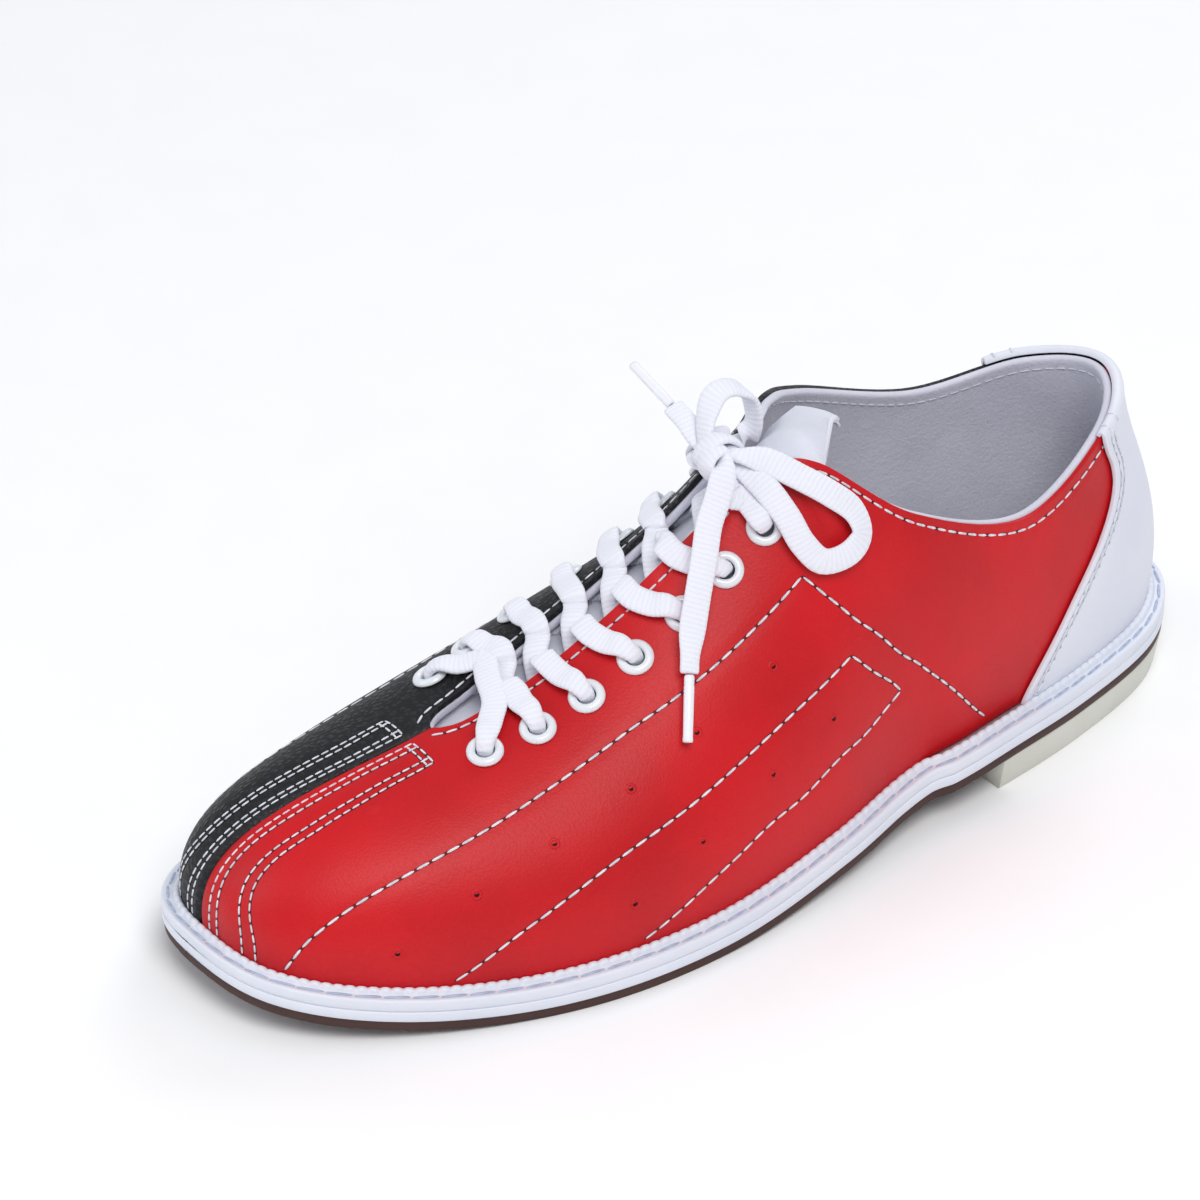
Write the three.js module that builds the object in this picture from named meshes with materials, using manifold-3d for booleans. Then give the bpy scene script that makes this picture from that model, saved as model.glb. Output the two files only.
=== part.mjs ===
// Laced bowling shoe for the left foot: toe towards +X, outer side of the foot towards +Y, ground at z = 0.
// The foot space is one lofted surface. Every layer of the upper is an offset of that surface, and every
// layer of the sole is a slab inside an offset of its outline, so the pieces follow when a size changes.
import * as THREE from "three";
import { LoftGeometry } from "three/addons/geometries/LoftGeometry.js";
import { mergeVertices } from "three/addons/utils/BufferGeometryUtils.js";
import Module from "manifold-3d";

// ---- Driving dimensions, in millimetres ----
const lastLength = 284; // foot space, heel to toe
const ballWidth = 95.5; // foot space, across the ball
const instepHeight = 95; // top corner of the facings above the feather line at the ball
const heelLift = 9.8; // how much higher the heel seat is than the ball
const toeSpring = 6.6; // how far the toe tip rises off the ground
const gap = 0.3; // between pieces that are sewn, glued or pressed together
const layerGap = 0.4; // between the bent layers of the upper
const liningWall = 0.8;
const stiffenerWall = 0.8;
const leatherWall = 1.3;
const heelCoverWall = 1.3;
const coverGap = 0.5; // under the heel cover, which bends tightly round the back
const outsoleWall = 2.6;
const midsoleWall = 2.9;
const weltWall = 3.0;
const weltWidth = 5.0; // how far the welt stands out from the upper
const weltHidden = 6.5; // how far the welt runs in under the upper
const boardWall = 1.6;
const fillerWall = 1.1;
const sockWall = 2.8;
const threadWidth = 0.9;
const shankLength = 105;
const shankWidth = 14;
const heelBlockEnd = 78; // how far the heel block reaches forward
const heelTaper = 1.5; // how far its side leans in towards the ground
const eyeletCount = 7; // on each side
const eyeletBore = 2.4; // radius of the hole
const eyeletBarrel = 0.5; // wall of the barrel
const eyeletFlange = 4.8; // radius of the rim
const eyeletRim = 1.0; // height of the rim
const eyeletMargin = { first: 16.5, last: 12 }; // eyelet centre to facing edge
const eyeletPlace = { 1: [2.26, 5.53], "-1": [2.6, 5.6] }; // first and last eyelet of each side, in stations
const laceWidth = 3.0; // the lace drawn round
const tongueWall = 1.5;
const tongueLiningWall = 0.9;
const tongueWidth = 48;
const tongueOverhang = 19; // how far the tongue stands above the facings
const agletLength = 17;
const agletWidth = 2.6;

// ---- The foot space: the pattern size, graded to the driving dimensions ----
const pattern = { length: 284, width: 95.5, height: 95 };
const grade = {
  x: lastLength / pattern.length,
  y: ballWidth / pattern.width,
  z: instepHeight / pattern.height,
};
// Stations run from the toe to the heel. foot is the outline that the upper stands on. top is the edge of
// the upper: the throat at the toe station, then the facing, its top corner and the collar, with z above
// the feather line at the ball. Each list holds the outer side of the foot, then the inner side.
const stations = [
  { foot: [[285.4, -13.3], [285.4, -13.3]], top: [[224, -4.5, 42.5], [224, -4.5, 42.5]] },
  { foot: [[280.6, 11.5], [281, -28.5]], top: [[221.5, -1.5, 43.5], [221.5, -8, 43.5]] },
  { foot: [[256, 30.4], [262.5, -39.8]], top: [[211, 0.6, 46], [211, -9.6, 46]] },
  { foot: [[214.8, 45.4], [225, -47.4]], top: [[193, 1.8, 52.4], [193, -10.2, 52.4]] },
  { foot: [[176.2, 48.1], [177.5, -41.5]], top: [[172, 3.5, 64.5], [171, -9, 62.5]] },
  { foot: [[137.4, 42.6], [137, -29.5]], top: [[150, 5.5, 80.5], [146, -8, 76]] },
  { foot: [[113.5, 36.7], [111.5, -24.5]], top: [[130, 8.5, 95], [120, -10, 91.5]] },
  { foot: [[100, 34.5], [98, -23.7]], top: [[121, 15, 95], [109, -16.5, 93]] },
  { foot: [[82, 33.3], [82, -23.5]], top: [[97, 25, 76.5], [92, -25.5, 85]] },
  { foot: [[47.5, 27.5], [47.5, -23.7]], top: [[61, 25.5, 62.5], [54, -27, 70]] },
  { foot: [[16.3, 17], [16.3, -16.2]], top: [[29, 17.5, 73], [22, -20, 72]] },
  { foot: [[3, 0.2], [3, 0.2]], top: [[13.5, -0.7, 76.5], [13.5, -0.7, 76.5]] },
];
// How the wall stands between those two lines: rise and flare are the length and outward lean of its
// handle at the foot line, reach and lean those of its handle at the top edge, in millimetres and degrees.
const wall = [
  { rise: 24, flare: 6, reach: 45, lean: 12 },
  { rise: 24, flare: 6, reach: 43, lean: 12 },
  { rise: 26, flare: 5, reach: 37, lean: 14 },
  { rise: 28, flare: 4, reach: 29, lean: 18 },
  { rise: 32, flare: 4, reach: 27, lean: 22 },
  { rise: 38, flare: 4, reach: 27, lean: 30 },
  { rise: 42, flare: 4, reach: 26, lean: 40 },
  { rise: 40, flare: 4, reach: 24, lean: 50 },
  { rise: 34, flare: 4, reach: 20, lean: 68 },
  { rise: 24, flare: 4, reach: 16, lean: 80 },
  { rise: 28, flare: 8, reach: 20, lean: 84 },
  { rise: 30, flare: 12, reach: 22, lean: 84 },
];
const heel = stations.length - 1; // the heel's place; the toe's place is 0
const columnStep = 0.25; // between the facet columns where the outline bends, in stations
const wideStep = 0.5; // and along its straighter middle
const rowCount = 6; // facet rows between the sole and the top edge

const wasm = await Module();
wasm.setup();

// ---- Curves ----
const radians = THREE.MathUtils.degToRad;
const smooth = THREE.MathUtils.smoothstep;
const vector = (x, y, z) => new THREE.Vector3(x, y, z);
const up = vector(0, 0, 1);

// A list of equal-length number lists, read as a smooth curve at place u.
function along(list, u, closed) {
  const n = list.length;
  const at = closed ? u : THREE.MathUtils.clamp(u, 0, n - 1 - 1e-9);
  const i = Math.floor(at);
  const t = at - i;
  const beyond = (a, b) => a.map((value, k) => 2 * value - b[k]);
  const pick = (k) => {
    if (closed) return list[((k % n) + n) % n];
    if (k < 0) return beyond(list[0], list[1]);
    return k >= n ? beyond(list[n - 1], list[n - 2]) : list[k];
  };
  const [a, b, c, d] = [pick(i - 1), pick(i), pick(i + 1), pick(i + 2)];
  return b.map((value, k) => {
    const slope = c[k] - a[k];
    const bend = 2 * a[k] - 5 * value + 4 * c[k] - d[k];
    const twist = 3 * value - a[k] - 3 * c[k] + d[k];
    return value + 0.5 * (slope * t + bend * t * t + twist * t ** 3);
  });
}

// Once round the shoe: the outer side from toe to heel, then the inner side back to the toe.
function ring(read) {
  const outer = stations.map((s) => read(s, 0));
  const inner = stations.slice(1, -1).map((s) => read(s, 1));
  return [...outer, ...inner.reverse()];
}
const footRing = ring((s, side) => s.foot[side]);
const topLine = [...ring((s, side) => s.top[side]), stations[0].top[0]];
const wallList = wall.map((w) => [w.rise * grade.z, radians(w.flare), w.reach * grade.z, radians(w.lean)]);

// A place s is 0 at the toe and grows to the heel on the outer side; it is negative on the inner side.
const onRing = (s) => (s < 0 ? 2 * heel + s : s);

// Depths of the sole's layers under the feather line, where the upper stands on the welt.
const weltTop = -gap;
const weltBottom = weltTop - weltWall;
const midsoleTop = weltBottom - gap;
const midsoleBottom = midsoleTop - midsoleWall;
const outsoleTop = midsoleBottom - gap;
const outsoleBottom = outsoleTop - outsoleWall;
const ballHeight = -outsoleBottom;

// Height of the feather line at a length x.
function feather(x) {
  const u = x / lastLength;
  const spring = Math.max(0, u - 0.78) / 0.22;
  return ballHeight + heelLift * (1 - smooth(u, 0.22, 0.66)) + toeSpring * spring ** 2;
}

function foot(s) {
  const [x, y] = along(footRing, onRing(s), true);
  return vector(x * grade.x, y * grade.y, 0);
}

// Outward direction of the outline, level.
function outward(s) {
  const t = foot(s + 0.05).sub(foot(s - 0.05));
  return vector(t.y, -t.x, 0).normalize();
}

// The outline at an offset outward, at a height over the feather line.
function outlinePoint(s, offset, height) {
  const p = foot(s).addScaledVector(outward(s), offset);
  return p.setZ(feather(p.x) + height);
}

function topEdge(s) {
  const [x, y, z] = along(topLine, onRing(s), false);
  return vector(x * grade.x, y * grade.y, ballHeight + z * grade.z);
}

// The wall of the foot space at place s, d outside it, from the sole to the top edge.
function wallCurve(s, d) {
  const [rise, flare, reach, lean] = along(wallList, Math.abs(s), false);
  const plan = outward(s);
  const start = outlinePoint(s, d, 0);
  const edge = topEdge(s);
  const level = foot(s).sub(edge).setZ(0).normalize();
  level.lerp(plan, smooth(Math.abs(s), 3, 6)).normalize();
  const normal = up.clone().multiplyScalar(Math.cos(lean)).addScaledVector(level, Math.sin(lean));
  const fall = level.clone().multiplyScalar(Math.cos(lean)).addScaledVector(up, -Math.sin(lean));
  edge.addScaledVector(normal, d);
  const upright = up.clone().multiplyScalar(Math.cos(flare)).addScaledVector(plan, Math.sin(flare));
  const lower = start.clone().addScaledVector(upright, rise);
  const upper = edge.clone().addScaledVector(fall, reach);
  return new THREE.CubicBezierCurve3(start, lower, upper, edge);
}

// The outward normal of the wall. At the sole it is level, so that every layer stands on the same line.
function wallNormal(s, t) {
  const at = (u, v) => wallCurve(u, 0).getPoint(v);
  const low = Math.min(t, 0.98);
  const across = at(s + 0.05, t).sub(at(s - 0.05, t));
  const upward = at(s, low + 0.02).sub(at(s, low));
  const normal = across.cross(upward).normalize();
  return outward(s).lerp(normal, smooth(t, 0, 0.15)).normalize();
}

// A point d outside the foot space, at place s and height t: 0 at the sole, 1 at the top edge.
// Near the sole it keeps its height over the feather line, which rises towards the toe and the heel.
function wallPoint(s, t, d) {
  const inner = wallCurve(s, 0).getPoint(t);
  const p = inner.clone().addScaledVector(wallNormal(s, t), d);
  const rise = feather(p.x) - feather(inner.x);
  return p.setZ(p.z + rise * (1 - smooth(t, 0, 0.4)));
}

// ---- Solids ----
// One closed body with shared vertices and its faces pointing out.
function closed(geometry) {
  const plain = new THREE.BufferGeometry().copy(geometry);
  plain.deleteAttribute("normal");
  plain.deleteAttribute("uv");
  const body = mergeVertices(plain, 1e-4);
  const index = [...body.index.array];
  const corner = (k) => vector().fromBufferAttribute(body.attributes.position, index[k]);
  const faces = [];
  let volume = 0;
  for (let k = 0; k < index.length; k += 3) {
    const [a, b, c] = [index[k], index[k + 1], index[k + 2]];
    if (a === b || b === c || c === a) continue;
    volume += corner(k).dot(corner(k + 1).cross(corner(k + 2)));
    faces.push([a, b, c]);
  }
  body.setIndex(faces.flatMap(([a, b, c]) => (volume < 0 ? [a, c, b] : [a, b, c])));
  return body;
}

// A skin through sections, each turned so that its corners run anticlockwise about the way the loft goes.
function loft(sections, caps = true) {
  const [first, second] = sections;
  const middle = (points) => points.reduce((sum, p) => sum.add(p), vector()).divideScalar(points.length);
  const turn = vector();
  first.forEach((p, i) => turn.add(vector().crossVectors(p, first[(i + 1) % first.length])));
  const onward = middle(second).sub(middle(first));
  const rings = turn.dot(onward) < 0 ? sections.map((points) => [...points].reverse()) : sections;
  return closed(new LoftGeometry(rings, { capStart: caps, capEnd: caps }));
}

// A sheet of even thickness between two grids of points. Both faces of every cell are split along the
// same diagonal, so sheets on the same places lie parallel, facet for facet.
function shell(outer, inner) {
  const wide = outer.length - 1;
  const tall = outer[0].length - 1;
  const under = (wide + 1) * (tall + 1);
  const id = (i, j) => i * (tall + 1) + j;
  const faces = [];
  for (let i = 0; i < wide; i += 1) {
    for (let j = 0; j < tall; j += 1) {
      const [a, b, c, d] = [id(i, j), id(i + 1, j), id(i + 1, j + 1), id(i, j + 1)];
      faces.push([a, b, c], [a, c, d], [under + a, under + c, under + b], [under + a, under + d, under + c]);
    }
  }
  const rim = (p, q) => faces.push([q, p, under + p], [q, under + p, under + q]);
  for (let i = 0; i < wide; i += 1) {
    rim(id(i, 0), id(i + 1, 0));
    rim(id(i + 1, tall), id(i, tall));
  }
  for (let j = 0; j < tall; j += 1) {
    rim(id(wide, j), id(wide, j + 1));
    rim(id(0, j + 1), id(0, j));
  }
  const geometry = new THREE.BufferGeometry().setFromPoints([...outer.flat(), ...inner.flat()]);
  return closed(geometry.setIndex(faces.flat()));
}

function toSolid(geometry) {
  const vertProperties = Float32Array.from(geometry.attributes.position.array);
  const triVerts = Uint32Array.from(geometry.index.array);
  return new wasm.Manifold(new wasm.Mesh({ numProp: 3, vertProperties, triVerts }));
}

function fromSolid(solid) {
  const mesh = solid.getMesh();
  const geometry = new THREE.BufferGeometry();
  geometry.setAttribute("position", new THREE.BufferAttribute(Float32Array.from(mesh.vertProperties), 3));
  geometry.setIndex([...mesh.triVerts]);
  return geometry;
}
const cut = (geometry, tool) => fromSolid(toSolid(geometry).subtract(toSolid(tool)));
const keep = (geometry, tool) => fromSolid(toSolid(geometry).intersect(toSolid(tool)));

// Numbers from a to b in equal steps no longer than step.
function steps(a, b, step) {
  const n = Math.max(1, Math.round(Math.abs(b - a) / step));
  return Array.from({ length: n + 1 }, (_, i) => a + ((b - a) * i) / n);
}

// Facet columns from one place to another: fine round the toe and the heel, wide between them.
function columns(a, b) {
  const [low, high] = [Math.min(Math.abs(a), Math.abs(b)), Math.max(Math.abs(a), Math.abs(b))];
  const all = [...steps(0, 2, columnStep), ...steps(2, 9, wideStep), ...steps(9, heel, columnStep)];
  const inside = all.filter((s, i) => s !== all[i - 1] && s > low + 0.01 && s < high - 0.01);
  const places = [low, ...inside, high].map((s) => s * Math.sign(a + b));
  return Math.abs(a) > Math.abs(b) ? places.reverse() : places;
}
const rowsBetween = (low, high) => steps(low, high, 1 / rowCount);

// A layer of the upper over the given places, between two heights and two distances from the foot.
// Where a layer starts or ends on the centre line it stops half a gap short of it.
function panel(places, low, high, inside, outside) {
  const rows = rowsBetween(low, high);
  const side = Math.sign(places[0] + places.at(-1)) || 1;
  const grid = (distance) =>
    places.map((s, i) => {
      const centre = (i === 0 || i === places.length - 1) && (s === 0 || Math.abs(s) === heel);
      const shift = vector(0, centre ? (side * gap) / 2 : 0, 0);
      return rows.map((t) => wallPoint(s, t, distance).add(shift));
    });
  return shell(grid(outside), grid(inside));
}

// A slab of the sole between two depths, filling the outline at an offset, from place to place.
function slab(from, to, offset, top, bottom) {
  const face = (height) =>
    columns(from, to).map((s) => [-s, s].map((place) => outlinePoint(place, offset(s), height)));
  return shell(face(top), face(bottom));
}

// A band all round the outline: its profile is a list of [offset, depth] for each place.
function band(profile) {
  const places = [...columns(0, heel), ...columns(-heel, 0).slice(1)];
  const sections = places.map((s) => profile(s).map(([offset, height]) => outlinePoint(s, offset, height)));
  sections[sections.length - 1] = sections[0];
  return loft(sections, false);
}

// ---- Layers of the upper, from the foot outward ----
const liningOut = liningWall;
const stiffenerIn = liningOut + layerGap;
const stiffenerOut = stiffenerIn + stiffenerWall;
const leatherIn = stiffenerOut + layerGap;
const leatherOut = leatherIn + leatherWall;
const coverIn = leatherOut + coverGap;
const coverOut = coverIn + heelCoverWall;
const coverFront = 7.4; // place where the heel cover starts at the sole
const underCover = (s) => smooth(Math.abs(s), coverFront - 0.6, coverFront);
const upperOut = (s) => leatherOut + (coverOut - leatherOut) * underCover(s);
const weltOut = (s) => upperOut(s) + weltWidth;
const ends = 0.08; // the sole's slabs stop this far short of the centre line at toe and heel

const root = new THREE.Group();
const nodes = {};
const paint = (color, roughness, metalness = 0) => ({ color, roughness, metalness });
const redLeather = paint(0xb81c22, 0.42);
const blackLeather = paint(0x16161a, 0.5);
const whiteLeather = paint(0xe9ebf2, 0.42);
const liningFabric = paint(0xa9a8b8, 0.85);
const whiteRubber = paint(0xe4eaf3, 0.5);
const brownRubber = paint(0x3c2320, 0.7);
const heelRubber = paint(0xd5d5cc, 0.6);
const fibreBoard = paint(0xb59a6d, 0.9);
const cork = paint(0x9a7448, 0.95);
const steel = paint(0x8d9096, 0.35, 1);
const thread = paint(0xb9c4dc, 0.8);
const blackCloth = paint(0x17171a, 0.9);
const whiteEnamel = paint(0xf2f4f8, 0.25);
const whiteCord = paint(0xf1f2f8, 0.8);
const whitePlastic = paint(0xf4f5fa, 0.3);

function place(name, geometry, finish) {
  const mesh = new THREE.Mesh(geometry, new THREE.MeshStandardMaterial(finish));
  mesh.name = name;
  nodes[name] = mesh;
  root.add(mesh);
  return mesh;
}

// ---- Sole ----
function buildSole() {
  const edge = (s) => weltOut(s) - 0.4;
  place("outsole", slab(ends, heel - ends, edge, outsoleTop, outsoleBottom), brownRubber);
  place("midsole", slab(ends, heel - ends, weltOut, midsoleTop, midsoleBottom), whiteRubber);

  const start = steps(7, 10, 0.01).find((s) => foot(s).x < heelBlockEnd * grade.x);
  const block = columns(start, heel - ends).map((s) => [-s, s]);
  const seat = block.map((pair) => pair.map((s) => outlinePoint(s, edge(s), outsoleBottom - gap)));
  const ground = block.map((pair) => pair.map((s) => outlinePoint(s, edge(s) - heelTaper, 0).setZ(0)));
  place("heel_block", shell(seat, ground), heelRubber);

  const welt = band((s) => {
    const bead = upperOut(s) + gap;
    return [
      [-weltHidden, weltTop],
      [bead, weltTop],
      [bead + 0.2, weltTop + 1.3],
      [bead + 1.2, weltTop + 1.3],
      [bead + 1.6, weltTop],
      [weltOut(s), weltTop],
      [weltOut(s), weltBottom],
      [-weltHidden, weltBottom],
    ];
  });
  place("welt", welt, whiteRubber);

  const row = band((s) => {
    const middle = upperOut(s) + 3.3;
    const low = weltTop + 0.3;
    return [
      [middle - threadWidth / 2, low],
      [middle, low + threadWidth / 2],
      [middle + threadWidth / 2, low],
      [middle, low - 0.05],
    ];
  });
  place("welt_thread", row, thread);

  const inner = () => -weltHidden - gap;
  const boardBottom = weltTop - boardWall;
  place("insole_board", slab(ends, heel - ends, inner, weltTop, boardBottom), fibreBoard);

  const fillerTop = boardBottom - gap;
  const fillerBottom = fillerTop - fillerWall;
  const strip = (from, to, half, top, bottom) => {
    const across = (x, height) => [-half, half].map((y) => vector(x, shankMiddle + y, feather(x) + height));
    const face = (height) => steps(from, to, 7).map((x) => across(x, height));
    return shell(face(top), face(bottom));
  };
  const shankMiddle = 4.5 * grade.y;
  const shankStart = 0.14 * lastLength;
  const shankEnd = shankStart + shankLength;
  const slot = strip(shankStart - gap, shankEnd + gap, shankWidth / 2 + gap, fillerTop + 1, fillerBottom - 1);
  const filler = slab(ends, heel - ends, inner, fillerTop, fillerBottom);
  place("bottom_filler", cut(filler, slot), cork);
  place("shank", strip(shankStart, shankEnd, shankWidth / 2, fillerTop, fillerBottom), steel);

  place("sock_liner", slab(ends, heel - ends, () => -2 * gap, sockWall, 0), blackCloth);
}

// ---- Eyelets ----
// Centre of an eyelet on the outer face of the leather, and the direction out of the shoe there.
function eyeletAt(side, i) {
  const share = eyeletCount > 1 ? i / (eyeletCount - 1) : 0;
  const [first, final] = eyeletPlace[side];
  const s = side * THREE.MathUtils.lerp(first, final, share);
  const margin = THREE.MathUtils.lerp(eyeletMargin.first, eyeletMargin.last, share);
  const curve = wallCurve(s, leatherOut);
  const t = curve.getUtoTmapping(1 - margin / curve.getLength());
  return { s, t, centre: wallPoint(s, t, leatherOut), normal: wallNormal(s, t) };
}

// Turns a geometry drawn about +Y so that it stands along the eyelet's direction.
function standOn(geometry, { centre, normal }) {
  const turn = new THREE.Quaternion().setFromUnitVectors(vector(0, 1, 0), normal);
  return geometry.applyQuaternion(turn).translate(centre.x, centre.y, centre.z);
}

function drill(geometry, side) {
  const radius = eyeletBore + eyeletBarrel + 0.5;
  let body = toSolid(geometry);
  for (let i = 0; i < eyeletCount; i += 1) {
    const hole = standOn(new THREE.CylinderGeometry(radius, radius, 16, 8), eyeletAt(side, i));
    body = body.subtract(toSolid(closed(hole)));
  }
  return fromSolid(body);
}

function buildEyelets(side, word) {
  const depth = 0.35 - leatherOut;
  const flange = gap + 0.25;
  const rim = flange + eyeletRim;
  const barrel = eyeletBore + eyeletBarrel;
  const profile = [
    [eyeletBore, depth],
    [barrel, depth],
    [barrel, flange],
    [eyeletFlange, flange],
    [eyeletFlange - 0.5, rim - 0.2],
    [eyeletBore + 1, rim],
    [eyeletBore, rim - 0.4],
    [eyeletBore, depth],
  ].map(([r, y]) => new THREE.Vector2(r, y));
  for (let i = 0; i < eyeletCount; i += 1) {
    const ring = standOn(new THREE.LatheGeometry(profile, 8), eyeletAt(side, i));
    place(`eyelet_${word}_${i + 1}`, closed(ring), whiteEnamel);
  }
}

// ---- Upper ----
const roundHeel = (from) => [...columns(from, heel), ...columns(-heel, -from).slice(1)];
const roundToe = (to) => [...columns(-to, 0), ...columns(0, to).slice(1)];

function buildUpper() {
  for (const [side, word, leather] of [[1, "lateral", redLeather], [-1, "medial", blackLeather]]) {
    const whole = columns(0, side * heel);
    const facing = columns(side * 2, side * 6);
    place(`quarter_${word}`, drill(panel(whole, 0, 1, leatherIn, leatherOut), side), leather);
    place(`lining_${word}`, drill(panel(whole, 0, 1, 0, liningOut), side), liningFabric);
    const backing = panel(facing, 4 / 6, 1, stiffenerIn, stiffenerOut);
    place(`facing_backing_${word}`, drill(backing, side), liningFabric);
    buildEyelets(side, word);
  }
  place("toe_puff", panel(roundToe(2), 0, 0.5, stiffenerIn, stiffenerOut), fibreBoard);
  place("toe_seam_underlay", panel(roundToe(0.75), 4 / 6, 1, stiffenerIn, stiffenerOut), whiteLeather);
  place("heel_stiffener", panel(roundHeel(8), 0, 4 / 6, stiffenerIn, stiffenerOut), fibreBoard);

  // The heel cover's front edge, seen from the side: from the top edge down to the sole.
  const upperFront = [[36, 110], [30, 82], [26.5, 72], [27.5, 65], [35, 54]];
  const front = [...upperFront, [48, 40], [60, 27], [66, 18], [69, 5]];
  const line = new THREE.SplineCurve(front.map(([x, z]) => new THREE.Vector2(x * grade.x, z * grade.z)));
  const outline = [...line.getPoints(20), new THREE.Vector2(-40, 5), new THREE.Vector2(-40, 110 * grade.z)];
  const side = new THREE.ExtrudeGeometry(new THREE.Shape(outline), { depth: 200, bevelEnabled: false });
  side.rotateX(Math.PI / 2).translate(0, 100, 0);
  place("heel_cover", keep(panel(roundHeel(7), 0, 1, coverIn, coverOut), closed(side)), whiteLeather);
}

// ---- Tongue ----
const tongueBase = 240 * grade.x; // where it is sewn under the vamp
const tongueTop = 128 * grade.x; // from here it stands free above the facings
const laceUnder = -laceWidth / 2 - gap - 0.1; // middle of a lace that runs under the facings
const tongueOut = laceUnder - laceWidth / 2 - 0.5;
const tongueSeam = -0.5;

function buildTongue() {
  // The foot space's roof, bridged across the open front, is felt from above.
  const heights = steps(0.2, 1, 0.05);
  const roofSide = (s) => heights.map((t) => wallPoint(s, t, 0));
  const roofRow = (s) => [...roofSide(s), ...roofSide(-s).reverse()];
  const roof = new THREE.Mesh(new LoftGeometry(steps(0, 7, 0.125).map(roofRow), { closed: false }));
  roof.material.side = THREE.DoubleSide;
  const feeler = new THREE.Raycaster();
  const roofHeight = (x, y) => {
    feeler.set(vector(x, y, 300), vector(0, 0, -1));
    return feeler.intersectObject(roof)[0].point.z;
  };
  const middle = (x) => -1 * grade.y - 0.03 * (x - tongueTop);
  const surface = (x, v, depth) => {
    const y = middle(x) + v;
    const on = Math.max(x, tongueTop);
    const [here, ahead] = [roofHeight(on, y), roofHeight(on + 2, y)];
    const [left, right] = [roofHeight(on, y + 2), roofHeight(on, y - 2)];
    const slope = (here - ahead) / 2;
    const normal = vector(slope, (right - left) / 4, 1).normalize();
    const point = vector(x, y, here + slope * 0.9 * (on - x));
    return point.addScaledVector(normal, depth);
  };
  const back = tongueTop - tongueOverhang;
  const halfWidth = (x) => {
    const tip = THREE.MathUtils.clamp((x - back) / (tongueTop + 6 - back), 0, 1);
    const base = 0.62 + 0.38 * smooth(tongueBase - x, 0, 45);
    return (tongueWidth / 2) * base * Math.sqrt(1 - (1 - tip) ** 2 * 0.86);
  };
  const seam = steps(tongueBase, tongueBase - 16, 4);
  const middlePart = steps(tongueBase - 16, tongueTop, 11).slice(1);
  const lengthwise = [...seam, ...middlePart, ...steps(tongueTop, back, 4).slice(1)];
  // Its base is sewn against the vamp's lining; further back it drops to leave room for the laces.
  const drop = (x) => tongueSeam + (tongueOut - tongueSeam) * smooth(tongueBase - x, 3, 15);
  const sheet = (under) =>
    lengthwise.map((x) => steps(-1, 1, 0.25).map((v) => surface(x, v * halfWidth(x), drop(x) - under)));
  place("tongue_outer", shell(sheet(0), sheet(tongueWall)), whiteLeather);
  const lining = tongueWall + gap;
  place("tongue_lining", shell(sheet(lining), sheet(lining + tongueLiningWall)), liningFabric);
}

// ---- Laces ----
const knotMiddle = vector(141.5 * grade.x, 5 * grade.y, 109 * grade.z);
const knotTilt = 0.12; // how far the knot's ring leans
const slant = 0.65; // how far before its eyelet a strand crosses the facing's edge, in eyelet pitches

// A place on the wall by eyelet number k, counted from the throat and with parts between two eyelets,
// and by its distance down from the top edge.
function onFacing(side, k, down, d) {
  const [first, final] = eyeletPlace[side];
  const s = side * THREE.MathUtils.lerp(first, final, k / (eyeletCount - 1));
  const curve = wallCurve(s, 0);
  return wallPoint(s, curve.getUtoTmapping(1 - down / curve.getLength()), d);
}

// A place over the gap between the facings, a distance out from one facing's edge towards the other.
function overGap(side, k, out, d) {
  const [a, b] = [onFacing(side, k, 0, 0), onFacing(-side, k, 0, 0)];
  const s = (eyeletPlace[1][0] + eyeletPlace[1][1]) / 2;
  const normal = wallNormal(s, 1).add(wallNormal(-s, 1)).normalize();
  const way = b.clone().sub(a);
  const reach = out === null ? way.length() / 2 : out;
  return a.addScaledVector(way.normalize(), reach).addScaledVector(normal, d);
}

// Through an eyelet from the outside to the inside. The strand comes in on a slant from across the tongue,
// except the straight bar at the first eyelets, and leaves square to the facing's edge below.
function throughEyelet(side, i) {
  const { centre, normal } = eyeletAt(side, i);
  const towards = (k) => onFacing(side, k, 0, leatherOut).sub(centre).projectOnPlane(normal).normalize();
  const overRim = gap + 0.25 + eyeletRim + laceWidth / 2;
  const above = [[4.4, overRim + 0.05], [2.2, overRim - 0.15], [0.4, overRim - 1.15]];
  const below = [[0, 0], [0, -2.8], [0.7, -4.6], [2.6, -leatherOut + laceUnder]];
  const lay = (route, way) =>
    route.map(([a, b]) => centre.clone().addScaledVector(way, a).addScaledVector(normal, b));
  return [...lay(above, towards(i > 0 ? i - slant : 0)), ...lay(below, towards(i))];
}

// From under one facing, over the tongue, to the top of the other. The strand to the inner side lies on top.
function crossOver(side, i) {
  const high = side > 0 ? 3.5 : -0.2;
  const rest = leatherOut + laceWidth / 2 + 0.5;
  return [
    onFacing(side, i + 0.02, 5, laceUnder),
    onFacing(side, i + 0.05, 1, laceUnder),
    overGap(side, i + 0.08, 1.4, -1.4),
    overGap(side, i + 0.2, null, high),
    overGap(-side, i + 0.33, 2.9, Math.max(high, 2.4) + 0.3),
    overGap(-side, i + 0.37, 1.2, rest),
    onFacing(-side, i + 0.42, 2, rest),
    onFacing(-side, i + 0.63, 6.5, rest),
  ];
}

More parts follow.
